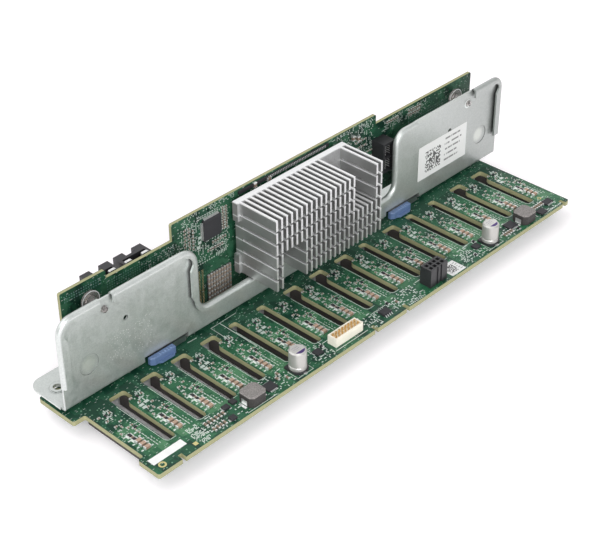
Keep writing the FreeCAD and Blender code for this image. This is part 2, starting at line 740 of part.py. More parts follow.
def hem_section(body, name, plane, offset, edge, inward, sheet_first):
    """The fold of the open hem: a half ring with a short stub of wall and of return leg.

    The fold line lies at `edge`, and `inward` is +1 or -1 towards the wall. `sheet_first` says
    whether the sheet's thickness runs along the sketch's first axis.
    """
    sketch = new_sketch(body, name, plane, offset)

    def spot(level, depth):
        return (depth, level) if sheet_first else (level, depth)

    stub = edge + s.hem_stub * inward
    rings = {}
    for label, radius in (("outer", hem_outside), ("inner", s.hem_inside)):
        x, y = spot(edge, hem_centre)
        circle = Part.Circle(Vector(size(x).value, size(y).value, 0), Vector(0, 0, 1),
                             radius.value)
        outward = math.atan2(*reversed(spot(-inward, 0)))
        arc = sketch.addGeometry(
            Part.ArcOfCircle(circle, outward - math.pi / 2, outward + math.pi / 2), False)
        fix_point(sketch, arc, 3, x, y)
        fix_radius(sketch, arc, radius)
        for position in (1, 2):
            if sheet_first:
                fix_point(sketch, arc, position, y=edge)
            else:
                fix_point(sketch, arc, position, x=edge)
        rings[label] = arc
    turned = sheet_first == (inward > 0)
    far_side = 1 if turned else 2
    for side, far in ((far_side, 1), (3 - far_side, -1)):
        outer_point = spot(edge, hem_centre + hem_outside * far)
        outer_end = spot(stub, hem_centre + hem_outside * far)
        inner_end = spot(stub, hem_centre + s.hem_inside * far)
        inner_point = spot(edge, hem_centre + s.hem_inside * far)
        points = [Vector(size(x).value, size(y).value, 0)
                  for x, y in (outer_point, outer_end, inner_end, inner_point)]
        lines = [sketch.addGeometry(Part.LineSegment(points[i], points[i + 1]), False)
                 for i in range(3)]
        real_side = nearest_end(sketch, rings["outer"], points[0], side)
        sketch.addConstraint(
            Sketcher.Constraint("Coincident", lines[0], 1, rings["outer"], real_side))
        sketch.addConstraint(Sketcher.Constraint("Coincident", lines[0], 2, lines[1], 1))
        sketch.addConstraint(Sketcher.Constraint("Coincident", lines[1], 2, lines[2], 1))
        sketch.addConstraint(
            Sketcher.Constraint("Coincident", lines[2], 2, rings["inner"], real_side))
        fix_point(sketch, lines[0], 2, *outer_end)
        fix_point(sketch, lines[2], 1, *inner_end)
    return sketch


def nearest_end(sketch, arc, point, default):
    """Which end of an arc lies nearest to a point: 1 for its start, 2 for its end."""
    start = sketch.getPoint(arc, 1)
    end = sketch.getPoint(arc, 2)
    if start.distanceToPoint(point) == end.distanceToPoint(point):
        return default
    return 1 if start.distanceToPoint(point) < end.distanceToPoint(point) else 2


def sweep_hem(body, name, section, corners):
    """Carry the hem's fold along the fold line."""
    spine = new_sketch(body, f"{name}_line", "XZ_Plane", -hem_centre)
    draw_path(spine, corners, closed=False)
    pipe = body.newObject("PartDesign::AdditivePipe", f"{name}_fold")
    pipe.Profile = section
    edge_count = 2 * len(corners) - 3
    pipe.Spine = (spine, [f"Edge{i}" for i in range(1, edge_count + 1)])
    return pipe


def hem_leg(body, name, corners):
    """The flat return leg in front of the wall."""
    pad(body, outline(body, f"{name}_leg", "XZ_Plane", -leg_back, corners), s.sheet)


def make_bracket():
    body = new_body("mounting_bracket")
    bend_outside = s.bend_radius + s.sheet
    bend_end = s.wall_front + bend_outside
    # skirt of the wall, bend and front of the flange in one folded section
    profile = [
        (s.wall_front, s.skirt_top), (s.wall_front, s.spacer, bend_outside),
        (s.flange_step, s.spacer), (s.flange_step, flange_top),
        (wall_back, flange_top, s.bend_radius), (wall_back, s.skirt_top),
    ]
    strip = outline(body, "folded_section", "YZ_Plane", s.foot_left, profile)
    pad(body, strip, s.foot_right - s.foot_left)
    # flange
    flange = [
        (s.flange_left, s.flange_step), (s.foot_right, s.flange_step),
        (s.foot_right, s.flange_back, s.flange_corner),
        (s.flange_left, s.flange_back, s.flange_corner),
    ]
    pad(body, outline(body, "flange", "XY_Plane", s.spacer, flange), s.sheet)
    # upper wall, cut to the fold line
    wall = [
        (s.foot_left, s.skirt_top), (s.foot_right, s.skirt_top), (s.foot_right, s.foot_top),
        (s.wall_right, s.foot_top), (s.wall_right, s.wall_top, s.radius_top_right),
        (s.plain_end, s.wall_top), (s.plain_end, s.plain_top), (s.plain_start, s.plain_top),
        (s.plain_start, s.wall_top), (s.notch_right, s.wall_top, s.radius_right_inner),
        (s.notch_right, s.notch_floor, s.radius_notch_right),
        (s.notch_left, s.notch_floor, s.radius_notch_left),
        (s.notch_left, s.wall_top, s.radius_left_inner),
        (s.wall_left, s.wall_top, s.radius_top_left), (s.wall_left, s.foot_top),
        (s.foot_left, s.foot_top),
    ]
    pad(body, outline(body, "wall", "XZ_Plane", -wall_back, wall), s.sheet)
    # hem, first stretch: up the left edge and round its corner
    section = hem_section(body, "left_fold", "XY_Plane", s.hem_foot, s.wall_left, 1, False)
    sweep_hem(body, "left_hem", section, [
        (s.wall_left, s.hem_foot), (s.wall_left, s.wall_top, s.radius_top_left),
        (s.hem_gap_start, s.wall_top)])
    inner_left = s.wall_left + s.hem_leg
    inner_top = s.wall_top - s.hem_leg
    corner_top = s.wall_top - s.hem_leg_corner
    hem_leg(body, "left_hem", [
        (s.wall_left, s.hem_foot), (inner_left, s.hem_foot),
        (inner_left, s.wall_top - s.radius_top_left - s.hem_ramp),
        (s.wall_left + s.hem_leg_corner, corner_top, s.radius_top_left - s.hem_leg_corner),
        (s.wall_left + s.radius_top_left + s.hem_ramp, inner_top),
        (s.hem_gap_start, inner_top), (s.hem_gap_start, s.wall_top),
        (s.wall_left, s.wall_top, s.radius_top_left)])
    # hem, second stretch: along the top, down into the notch and up again
    section = hem_section(body, "middle_fold", "YZ_Plane", s.hem_gap_end, s.wall_top, -1, True)
    sweep_hem(body, "middle_hem", section, [
        (s.hem_gap_end, s.wall_top), (s.notch_left, s.wall_top, s.radius_left_inner),
        (s.notch_left, s.notch_floor, s.radius_notch_left),
        (s.notch_right, s.notch_floor, s.radius_notch_right),
        (s.notch_right, s.wall_top, s.radius_right_inner), (s.hem_plain_start, s.wall_top)])
    side_left = s.notch_left - s.hem_leg
    side_right = s.notch_right + s.hem_leg
    floor = s.notch_floor - s.hem_leg_floor
    corner_floor = s.notch_floor - s.hem_leg_corner
    hem_leg(body, "middle_hem", [
        (s.hem_gap_end, s.wall_top), (s.hem_gap_end, inner_top),
        (s.notch_left - s.radius_left_inner - s.hem_ramp, inner_top),
        (s.notch_left - s.hem_leg_corner, corner_top, s.radius_left_inner - s.hem_leg_corner),
        (side_left, s.wall_top - s.radius_left_inner - s.hem_ramp),
        (side_left, s.notch_floor + s.radius_notch_left + s.hem_ramp),
        (s.notch_left - s.hem_leg_corner, corner_floor,
         s.radius_notch_left + s.hem_leg_corner),
        (s.notch_left + s.radius_notch_left + s.hem_ramp, floor),
        (s.notch_right - s.radius_notch_right - s.hem_ramp, floor),
        (s.notch_right + s.hem_leg_corner, corner_floor,
         s.radius_notch_right + s.hem_leg_corner),
        (side_right, s.notch_floor + s.radius_notch_right + s.hem_ramp),
        (side_right, s.wall_top - s.radius_right_inner - s.hem_ramp),
        (s.notch_right + s.hem_leg_corner, corner_top,
         s.radius_right_inner - s.hem_leg_corner),
        (s.notch_right + s.radius_right_inner + s.hem_ramp, inner_top),
        (s.hem_plain_start, inner_top), (s.hem_plain_start, s.wall_top),
        (s.notch_right, s.wall_top, s.radius_right_inner),
        (s.notch_right, s.notch_floor, s.radius_notch_right),
        (s.notch_left, s.notch_floor, s.radius_notch_left),
        (s.notch_left, s.wall_top, s.radius_left_inner)])
    # hem, third stretch: up the right edge and round its corner
    section = hem_section(body, "right_fold", "XY_Plane", s.hem_foot, s.wall_right, -1, False)
    sweep_hem(body, "right_hem", section, [
        (s.wall_right, s.hem_foot), (s.wall_right, s.wall_top, s.radius_top_right),
        (s.hem_plain_end, s.wall_top)])
    inner_right = s.wall_right - s.hem_leg
    hem_leg(body, "right_hem", [
        (s.wall_right, s.hem_foot), (s.wall_right, s.wall_top, s.radius_top_right),
        (s.hem_plain_end, s.wall_top), (s.hem_plain_end, inner_top),
        (s.wall_right - s.radius_top_right - s.hem_ramp, inner_top),
        (s.wall_right - s.hem_leg_corner, corner_top, s.radius_top_right - s.hem_leg_corner),
        (inner_right, s.wall_top - s.radius_top_right - s.hem_ramp),
        (inner_right, s.hem_foot)])
    # raised rings round the chassis holes
    fixings = (s.fix_left, s.fix_right)
    rings = [(x, s.fix_back, s.fix_ring_radius) for x in fixings]
    pad(body, circles(body, "fix_rings", "XY_Plane", flange_top, rings), s.fix_ring_height)
    # holes down through the flange
    holes = [(x, s.fix_back, s.fix_radius) for x in fixings]
    holes += [(x, s.rivet_back, s.rivet_radius + s.rivet_gap) for x in rivet_places()]
    holes += [(x, s.pivot_y, s.pivot_radius) for x in (s.pivot_x, s.pivot_x + s.latch_spacing)]
    flange_holes = circles(body, "flange_holes", "XY_Plane", flange_top + s.fix_ring_height,
                           holes)
    pocket(body, flange_holes, s.fix_ring_height + s.sheet)
    # windows behind the wall for the links, and windows through the bend for the latches
    room = s.link_room
    for name, left, length in (("link_window_left", s.link_left, s.link_left_length),
                               ("link_window_right", s.link_right, s.link_right_length)):
        window = rectangle(left - room, link_front() - room, length + room * 2,
                           s.link_depth + room * 2)
        pocket(body, outline(body, name, "XY_Plane", flange_top, window), s.sheet)
    for name, shift in (("latch_window_left", size(0)), ("latch_window_right", s.latch_spacing)):
        window = rectangle(s.window_left + shift, s.wall_front - MARGIN, s.window_length,
                           s.window_back - s.wall_front + MARGIN)
        cut = outline(body, name, "XY_Plane", s.window_top, window)
        pocket(body, cut, s.window_top - s.spacer + MARGIN)
    # holes and pressed marks in the wall
    holes = [(x, s.standoff_height, s.standoff_pin + s.standoff_gap)
             for x in (s.standoff_left, s.standoff_right)]
    holes += [(x, s.tool_hole_height, s.tool_hole_radius)
              for x in (s.tool_hole_left, s.tool_hole_right)]
    pocket(body, circles(body, "wall_holes", "XZ_Plane", -s.wall_front, holes), s.sheet)
    marks = [(x, s.mark_height, s.mark_radius) for x in (s.mark_left, s.mark_right)]
    pocket(body, circles(body, "wall_marks", "XZ_Plane", -s.wall_front, marks), s.mark_depth)


def make_rivets():
    """Shouldered rivets: the shoulder keeps the flange clear of the board."""
    rivets = []
    for number, x in enumerate(rivet_places(), start=1):
        body = new_body(f"rivet_{number}", x, s.rivet_back, node=False)
        top = flange_top + s.rivet_head
        foot = -s.board_thick - s.rivet_head
        profile = [
            (size(0), foot), (s.rivet_head_radius, foot), (s.rivet_head_radius, -s.board_thick),
            (s.rivet_radius, -s.board_thick), (s.rivet_radius, size(0)),
            (s.rivet_head_radius, size(0)), (s.rivet_head_radius, s.spacer),
            (s.rivet_radius, s.spacer), (s.rivet_radius, flange_top),
            (s.rivet_head_radius, flange_top), (s.rivet_head_radius, top), (size(0), top),
        ]
        revolve(body, outline(body, f"rivet_profile_{number}", "XZ_Plane", 0, profile))
        rivets.append(body)
    group("bracket_rivets", rivets)


# ---------------------------------------------------------------- release latches

def make_latch(side, shift):
    """A lever plate with a lip, its plastic cap and the rivet that it turns on."""
    eye_x = s.pivot_x
    lever = new_body(f"release_lever_{side}", shift)
    corners = [
        (s.lever_tab_left, s.lever_front), (s.lever_tab_right, s.lever_front),
        (s.lever_tab_right, s.lever_lip_front), (s.lever_lip_right, s.lever_lip_front),
        (s.lever_lip_right, s.pivot_y - s.pivot_eye),
        (eye_x + s.pivot_eye, s.pivot_y - s.pivot_eye, s.pivot_eye),
        (eye_x + s.pivot_eye, s.pivot_y + s.pivot_eye, s.pivot_eye),
        (eye_x - s.pivot_eye, s.pivot_y + s.pivot_eye, s.pivot_eye),
        (eye_x - s.pivot_eye, s.pivot_y - MARGIN / 2),
        (s.lever_tab_left, s.lever_waist),
    ]
    plate = outline(lever, f"lever_plate_{side}", "XY_Plane", lever_foot, corners)
    pad(lever, plate, s.lever_thick)
    lip = rectangle(s.lever_lip_left, s.lever_lip_front,
                    s.lever_lip_right - s.lever_lip_left, s.lever_thick)
    lip_sketch = outline(lever, f"lever_lip_{side}", "XY_Plane", s.lever_lip_foot, lip)
    pad(lever, lip_sketch, lever_foot - s.lever_lip_foot)
    eye = [(eye_x, s.pivot_y, s.pivot_radius + s.pivot_gap)]
    pocket(lever, circles(lever, f"lever_eye_{side}", "XY_Plane", lever_top, eye),
           s.lever_thick)

    cap = new_body(f"release_cap_{side}", shift)
    face = s.cap_front + s.cap_lip_depth
    corners = [
        (s.cap_left, s.cap_back), (s.cap_left, s.cap_back - s.cap_bevel),
        (s.cap_left + s.cap_bevel, face), (s.cap_right, face, s.cap_edge),
        (s.cap_right, s.cap_back),
    ]
    cap_sketch = outline(cap, f"cap_outline_{side}", "XY_Plane", s.cap_foot, corners)
    pad(cap, cap_sketch, s.cap_top - s.cap_foot)
    dress(cap, "Fillet", edges_at(s.cap_top), s.cap_edge)
    lip = [
        (s.cap_left + s.cap_bevel * 2, face), (s.cap_left + s.cap_bevel * 3, s.cap_front),
        (s.cap_right - s.cap_bevel, s.cap_front, s.cap_edge),
        (s.cap_right - s.cap_bevel, face),
    ]
    pad(cap, outline(cap, f"cap_lip_{side}", "XY_Plane", s.cap_foot, lip), s.cap_lip_height)
    socket = rectangle(s.lever_tab_left, lever_foot, s.lever_tab_right - s.lever_tab_left,
                       s.lever_thick)
    pocket(cap, outline(cap, f"cap_socket_{side}", "XZ_Plane", -s.cap_back, socket),
           s.cap_back - s.lever_front, True)

    pivot = new_body(f"lever_pivot_{side}", s.pivot_x + shift, s.pivot_y)
    top = lever_top + s.pivot_gap
    profile = [
        (size(0), s.spacer / 2), (s.rivet_head_radius, s.spacer / 2),
        (s.rivet_head_radius, s.spacer), (s.pivot_radius, s.spacer),
        (s.pivot_radius, top), (s.pivot_head_radius, top),
        (s.pivot_head_radius, top + s.pivot_head), (size(0), top + s.pivot_head),
    ]
    revolve(pivot, outline(pivot, f"pivot_profile_{side}", "XZ_Plane", 0, profile))


# ---------------------------------------------------------------- expander

def link_front():
    """Front face of the links: they stand centred on the expander."""
    return s.expander_front + s.expander_thick / 2 - s.link_depth / 2


def tongues():
    """The two stretches of the expander's lower edge that enter the links."""
    inset = s.link_wall + s.tongue_end_gap
    return [(s.link_left + inset, s.link_left + s.link_left_length - inset),
            (s.link_right + inset, s.link_right + s.link_right_length - inset)]


def bay_centre(first_fin):
    """Middle of a bay that starts after the given number of fins."""
    first_left = s.sink_left + s.sink_ear
    return first_left + s.fin_pitch * (first_fin + (s.bay_fins - 1) / 2) + s.fin_thick / 2


def pushpin_places():
    """Centres of the two push pins: the lower left bay and the upper right bay."""
    half_bay = row_pitch * BAY_ROWS / 2
    return [(bay_centre(s.bay_first), s.sink_foot + half_bay),
            (bay_centre(s.bay_right_first), sink_top - half_bay)]


def make_expander():
    body = new_body("expander_board")
    (left_start, left_end), (right_start, right_end) = tongues()
    r = s.expander_corner
    ends = s.expander_foot_ends
    corners = [
        (s.expander_left, ends, r), (left_start, ends), (left_start, s.tongue_foot),
        (left_end, s.tongue_foot), (left_end, ends), (s.expander_step_two, ends),
        (s.expander_step_two, s.expander_foot), (s.expander_step_three, s.expander_foot),
        (s.expander_step_three, ends), (right_start, ends), (right_start, s.tongue_foot),
        (right_end, s.tongue_foot), (right_end, ends), (s.expander_right, ends, r),
        (s.expander_right, s.expander_top_right, r),
        (s.expander_step_three, s.expander_top_right),
        (s.expander_step_three, s.expander_top, r), (s.expander_step_two, s.expander_top, r),
        (s.expander_step_two, s.expander_top_low), (s.expander_step_one, s.expander_top_low),
        (s.expander_step_one, s.expander_top_left, r),
        (s.expander_left, s.expander_top_left, r),
    ]
    pad(body, outline(body, "expander_outline", "XZ_Plane", -expander_back, corners),
        s.expander_thick)
    holes = [(x, s.standoff_height, s.standoff_pin + s.standoff_gap)
             for x in (s.standoff_left, s.standoff_right)]
    holes += [(x, z, s.pushpin_radius + s.pushpin_gap) for x, z in pushpin_places()]
    pocket(body, circles(body, "expander_holes", "XZ_Plane", -s.expander_front, holes),
           s.expander_thick)


def make_link(side, left, length):
    """A straddling connector that joins the expander's tongue to the main board."""
    body = new_body(f"board_link_{side}", left, link_front())
    shell = outline(body, f"link_shell_{side}", "XY_Plane", 0,
                    rectangle(size(0), size(0), length, s.link_depth))
    pad(body, shell, s.link_height)
    gap_depth = s.expander_thick + s.link_gap * 2
    slot = rectangle(s.link_wall, (s.link_depth - gap_depth) / 2, length - s.link_wall * 2,
                     gap_depth)
    pocket(body, outline(body, f"link_slot_{side}", "XY_Plane", s.link_height, slot),
           s.link_height - s.link_floor)


def make_standoff(side, x):
    """A moulded standoff between wall and expander, with a snap pin at each end."""
    body = new_body(f"standoff_{side}", x, wall_back, s.standoff_height)
    span = s.expander_front - wall_back
    disc_back = span - s.standoff_disc_gap
    front_pin = -s.sheet
    back_pin = span + s.expander_thick
    profile = [
        (size(0), front_pin - s.standoff_snap_length),
        (s.standoff_pin, front_pin - s.standoff_snap_length), (s.standoff_snap, front_pin),
        (s.standoff_pin, front_pin), (s.standoff_pin, size(0)), (s.standoff_column, size(0)),
        (s.standoff_column, disc_back - s.standoff_disc_thick),
        (s.standoff_disc, disc_back - s.standoff_disc_thick), (s.standoff_disc, disc_back),
        (s.standoff_column, disc_back), (s.standoff_column, span), (s.standoff_pin, span),
        (s.standoff_pin, back_pin), (s.standoff_snap, back_pin),
        (s.standoff_pin, back_pin + s.standoff_snap_length),
        (size(0), back_pin + s.standoff_snap_length),
    ]
    revolve(body, outline(body, f"standoff_profile_{side}", "XY_Plane", 0, profile))


# ---------------------------------------------------------------- heat sink

def make_heat_sink():
    body = new_body("heat_sink")
    ear_inner = s.sink_left + s.sink_ear
    right = s.sink_left + s.sink_width
    base = [
        (s.sink_left, s.sink_foot), (right, s.sink_foot), (right, sink_top),
        (s.sink_left, sink_top), (s.sink_left, sink_top - s.sink_ear_height),
        (ear_inner, sink_top - s.sink_ear_height), (ear_inner, s.sink_foot + s.sink_ear_height),
        (s.sink_left, s.sink_foot + s.sink_ear_height),
    ]
    pad(body, outline(body, "sink_base", "XZ_Plane", -sink_back, base), s.sink_base)
    fin = outline(body, "sink_fin", "XZ_Plane", -sink_front,
                  rectangle(ear_inner, s.sink_foot, s.fin_thick, s.sink_height))
    fin_pad = pad(body, fin, s.sink_reach)
    row_pattern(body, fin_pad, "X_Axis", FINS, s.fin_pitch)
    cut = outline(body, "sink_cut", "XZ_Plane", -sink_tips,
                  rectangle(s.sink_left - MARGIN, s.sink_foot + row_pitch - s.cut_width,
                            s.sink_width + MARGIN * 2, s.cut_width))
    cut_pocket = pocket(body, cut, s.sink_reach - s.cut_land)
    row_pattern(body, cut_pocket, "Z_Axis", FIN_ROWS - 1, row_pitch)
    half_gap = (s.fin_pitch - s.fin_thick) / 2
    bay_height = row_pitch * BAY_ROWS
    for name, first_fin, low in (("lower_bay", s.bay_first, s.sink_foot - MARGIN),
                                 ("upper_bay", s.bay_right_first,
                                  sink_top - bay_height + s.cut_width / 2)):
        left = ear_inner + s.fin_pitch * first_fin - half_gap
        area = rectangle(left, low, s.fin_pitch * s.bay_fins,
                         bay_height - s.cut_width / 2 + MARGIN)
        pocket(body, outline(body, name, "XZ_Plane", -sink_tips, area), s.sink_reach)
    holes = [(x, z, s.pushpin_radius + s.pushpin_gap) for x, z in pushpin_places()]
    pocket(body, circles(body, "sink_holes", "XZ_Plane", -sink_front, holes), s.sink_base)


def make_pushpins():
    """Push pins: head in the bay, shank through sink and expander, barb behind."""
    pins = []
    for number, (x, z) in enumerate(pushpin_places(), start=1):
        body = new_body(f"pushpin_{number}", x, sink_front, z, node=False)
        head_foot = -s.pushpin_spring_room
        back = expander_back - sink_front
        profile = [
            (size(0), head_foot - s.pushpin_head_thick),
            (s.pushpin_head, head_foot - s.pushpin_head_thick), (s.pushpin_head, head_foot),
            (s.pushpin_radius, head_foot), (s.pushpin_radius, back), (s.pushpin_barb, back),
            (s.pushpin_radius / 2, back + s.pushpin_barb_length),
            (size(0), back + s.pushpin_barb_length),
        ]
        revolve(body, outline(body, f"pushpin_profile_{number}", "XY_Plane", 0, profile))
        pins.append(body)
    group("heat_sink_pins", pins)


def make_expander_chip():
    box("expander_chip", s.chip_left, s.expander_front - s.chip_thick, s.chip_foot,
        s.chip_side, s.chip_thick, s.chip_side)
    side = s.chip_side - s.thermal_margin * 2
    box("thermal_pad", s.chip_left + s.thermal_margin, sink_back, s.chip_foot + s.thermal_margin,
        side, s.thermal_thick, side)


# ---------------------------------------------------------------- parts on the boards

def make_capacitor(side, x):
    """A polymer capacitor: a crimped can on a moulded base with two cut corners."""
    half = s.can_base_side / 2
    base = new_body(f"capacitor_base_{side}", x, s.can_front)
    corners = [
        (-half + s.can_base_cut, -half), (half - s.can_base_cut, -half),
        (half, -half + s.can_base_cut), (half, half), (-half, half),
        (-half, -half + s.can_base_cut),
    ]
    pad(base, outline(base, f"can_base_{side}", "XY_Plane", 0, corners), s.can_base_height)
    can = new_body(f"capacitor_can_{side}", x, s.can_front, s.can_base_height)
    profile = [
        (size(0), size(0)), (s.can_radius, size(0)), (s.can_radius, s.can_groove_height),
        (s.can_radius - s.can_groove_depth, s.can_groove_height + s.can_groove_width / 2),
        (s.can_radius, s.can_groove_height + s.can_groove_width),
        (s.can_radius, s.can_height - s.can_shoulder),
        (s.can_radius - s.can_shoulder, s.can_height), (size(0), s.can_height),
    ]
    revolve(can, outline(can, f"can_profile_{side}", "XZ_Plane", 0, profile))


def make_inductor(side, x):
    """A moulded power inductor with cut corners and a bevelled top."""
    body = new_body(f"inductor_{side}", x, s.coil_front)
    corners = [
        (s.coil_cut, size(0)), (s.coil_width - s.coil_cut, size(0)),
        (s.coil_width, s.coil_cut), (s.coil_width, s.coil_depth - s.coil_cut),
        (s.coil_width - s.coil_cut, s.coil_depth), (s.coil_cut, s.coil_depth),
        (size(0), s.coil_depth - s.coil_cut), (size(0), s.coil_cut),
    ]
    pad(body, outline(body, f"coil_{side}", "XY_Plane", 0, corners), s.coil_height)
    dress(body, "Chamfer", edges_at(s.coil_height), s.coil_bevel)


def power_cavity_corner(column, row):
    """Front left corner of one cavity of the power connector, from its own corner."""
    left = (s.power_width - s.power_pitch * (POWER_COLUMNS - 1) - s.power_cavity) / 2
    front = (s.power_depth - s.power_pitch - s.power_cavity) / 2
    return (left + s.power_pitch * column, front + s.power_pitch * row)


def make_power_connector():
    body = new_body("power_connector", s.power_left, s.power_front)
    groove_one = s.power_width / 2 - s.power_pitch / 2 - s.power_groove / 2
    groove_two = groove_one + s.power_pitch
    corners = [(size(0), size(0))]
    for left in (groove_one, groove_two):
        right = left + s.power_groove
        corners += [(left, size(0)), (left, s.power_groove_depth),
                    (right, s.power_groove_depth), (right, size(0))]
    corners += [(s.power_width, size(0)), (s.power_width, s.power_depth),
                (size(0), s.power_depth)]
    pad(body, outline(body, "power_shell", "XY_Plane", 0, corners), s.power_height)
    cavities = new_sketch(body, "power_cavities", "XY_Plane", s.power_height)
    pins = []
    inset = (s.power_cavity - s.power_pin) / 2
    pin_foot = s.power_height - s.power_cavity_depth
    for row in range(2):
        for column in range(POWER_COLUMNS):
            left, front = power_cavity_corner(column, row)
            draw_path(cavities, rectangle(left, front, s.power_cavity, s.power_cavity))
            pins.append(box(f"power_pin_{row}_{column}", s.power_left + left + inset,
                            s.power_front + front + inset, pin_foot, s.power_pin, s.power_pin,
                            s.power_pin_length, node=False))
    pocket(body, cavities, s.power_cavity_depth)
    group("power_connector_pins", pins)


def make_signal_header():
    body = new_body("signal_header", s.header_left, s.header_front)
    shell = outline(body, "header_shell", "XY_Plane", 0,
                    rectangle(size(0), size(0), s.header_width, s.header_depth))
    pad(body, shell, s.header_height)
    trough = rectangle(s.header_wall, s.header_wall, s.header_width - s.header_wall * 2,
                       s.header_depth - s.header_wall * 2)
    pocket(body, outline(body, "header_trough", "XY_Plane", s.header_height, trough),
           s.header_trough)
    pins = []
    left = (s.header_width - s.header_pitch * (HEADER_COLUMNS - 1) - s.header_pin) / 2
    front = (s.header_depth - s.header_pitch - s.header_pin) / 2
    floor = s.header_height - s.header_trough
    for row in range(2):
        for column in range(HEADER_COLUMNS):
            pins.append(box(f"header_pin_{row}_{column}",
                            s.header_left + left + s.header_pitch * column,
                            s.header_front + front + s.header_pitch * row, floor,
                            s.header_pin, s.header_pin, s.header_pin_top - floor, node=False))
    group("signal_header_pins", pins)


def make_expander_port():
    """The connector on the expander's front, its two cavities facing forward."""
    body = new_body("expander_front_connector", s.port_left, s.expander_front, s.port_foot)
    shell = outline(body, "port_shell", "XZ_Plane", 0,
                    rectangle(size(0), size(0), s.port_width, s.port_height))
    pad(body, shell, s.port_reach)
    cavities = new_sketch(body, "port_cavities", "XZ_Plane", s.port_reach)
    height = (s.port_height - s.port_wall * 2 - s.port_rib) / 2
    for low in (s.port_wall, s.port_wall + height + s.port_rib):
        draw_path(cavities, rectangle(s.port_wall, low, s.port_width - s.port_wall * 2, height))
    pocket(body, cavities, s.port_depth)


def make_cable_connector(name, shift):
    """A cable connector on the expander's back: socket from above, latch notch behind."""
    body = new_body(f"cable_connector_{name}", s.cable_left + shift, expander_back,
                    s.cable_foot)
    shell = outline(body, f"cable_shell_{name}", "XY_Plane", 0,
                    rectangle(size(0), size(0), s.cable_width, s.cable_reach))
    pad(body, shell, s.cable_height)
    socket = rectangle(s.cable_wall, s.cable_wall, s.cable_width - s.cable_wall * 2,
                       s.cable_socket)
    pocket(body, outline(body, f"cable_socket_{name}", "XY_Plane", s.cable_height, socket),
           s.cable_socket_depth)
    notch = rectangle((s.cable_width - s.cable_latch) / 2, s.cable_wall * 2 + s.cable_socket,
                      s.cable_latch, s.cable_reach)
    pocket(body, outline(body, f"cable_latch_{name}", "XY_Plane", s.cable_height, notch),
           s.cable_latch_depth)


def make_chips():
    qfp = new_body("qfp_chip", s.qfp_left, s.expander_front, s.qfp_foot)
    face = outline(qfp, "qfp_face", "XZ_Plane", 0,
                   rectangle(size(0), size(0), s.qfp_side, s.qfp_side))
    pad(qfp, face, s.qfp_thick)
    dress(qfp, "Chamfer", edges_at(-s.qfp_thick, "y"), s.qfp_bevel)
    so8 = new_body("so8_chip", s.so8_left, s.so8_front)
    face = outline(so8, "so8_face", "XY_Plane", 0,
                   rectangle(size(0), size(0), s.so8_width, s.so8_depth))
    pad(so8, face, s.so8_thick)
    dress(so8, "Chamfer", edges_at(s.so8_thick), s.so8_bevel)
    plan = {
        "regulator": (231.5, 4.5, 6.0, 5.0),
        "driver": (261.2, 4.8, 5.5, 3.5),
        "switch": (252.6, 1.2, 4.6, 3.8),
        "buffer": (206.9, 6.0, 3.8, 3.6),
        "monitor": (96.2, 5.4, 3.8, 3.6),
        "controller": (64.6, 3.7, 5.4, 4.8),
        "sensor": (48.6, 9.0, 2.8, 2.8),
    }
    chips = [box(name, left, front, 0, width, depth, s.chip_height, node=False)
             for name, (left, front, width, depth) in plan.items()]
    group("small_chips", chips)


def make_ceramics():
    """Ceramic capacitors: a short row beside each slot."""
    blocks = []
    for strip in range(1, SLOTS + 2):
        left = slot_left(strip) - s.slot_pitch + s.slot_width + s.ceramic_inset
        for place_in_row in range(CERAMICS_PER_STRIP):
            front = s.ceramic_front + s.ceramic_pitch * place_in_row - s.ceramic_width / 2
            blocks.append(box(f"ceramic_{strip}_{place_in_row}", left - s.ceramic_length / 2,
                              front, 0, s.ceramic_length, s.ceramic_width, s.ceramic_height,
                              node=False))
    group("chip_capacitors", blocks)


# ---------------------------------------------------------------- assembly

make_main_board()
for connector in range(1, SLOTS + 2):
    make_drive_connector(connector)
make_bracket()
make_rivets()
make_latch("left", size(0))
make_latch("right", s.latch_spacing)
make_expander()
make_link("left", s.link_left, s.link_left_length)
make_link("right", s.link_right, s.link_right_length)
make_standoff("left", s.standoff_left)
make_standoff("right", s.standoff_right)
make_heat_sink()
make_pushpins()
make_expander_chip()
make_capacitor("left", s.can_left)
make_capacitor("right", s.can_right)
make_inductor("left", s.coil_left)
make_inductor("right", s.coil_right)
make_power_connector()
make_signal_header()
make_expander_port()
make_cable_connector("outer", size(0))
make_cable_connector("inner", s.cable_pitch)
make_chips()
make_ceramics()
doc.recompute()


def check_document():
    """Stop before anything is written if an object or a shape has failed."""
    for item in doc.Objects:
        if "Invalid" in item.State or "Error" in item.State:
            raise RuntimeError(f"{item.Name} failed: {item.State}")
    for node in nodes:
        if node.Shape.isNull() or not node.Shape.isValid():
            raise RuntimeError(f"{node.Label} has no valid shape")


def export_nodes():
    """Write each node's shape to a file of its own."""
    os.makedirs("parts", exist_ok=True)
    for node in nodes:
        node.Shape.exportStep(os.path.join("parts", f"{node.Label}.step"))


check_document()
export_nodes()
print(f"{len(nodes)} nodes written")
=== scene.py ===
"""The look of a drive backplane board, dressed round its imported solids.

Lengths are millimetres from the datum, the front left corner of the main board's top face,
with +X along the board, +Y towards the bracket and +Z up. Names that end in _m are metres
in the frame's own axes.
"""
import logging
import math
from dataclasses import dataclass, field, replace
from enum import Enum

import bpy
import numpy as np
from mathutils import Matrix, Vector


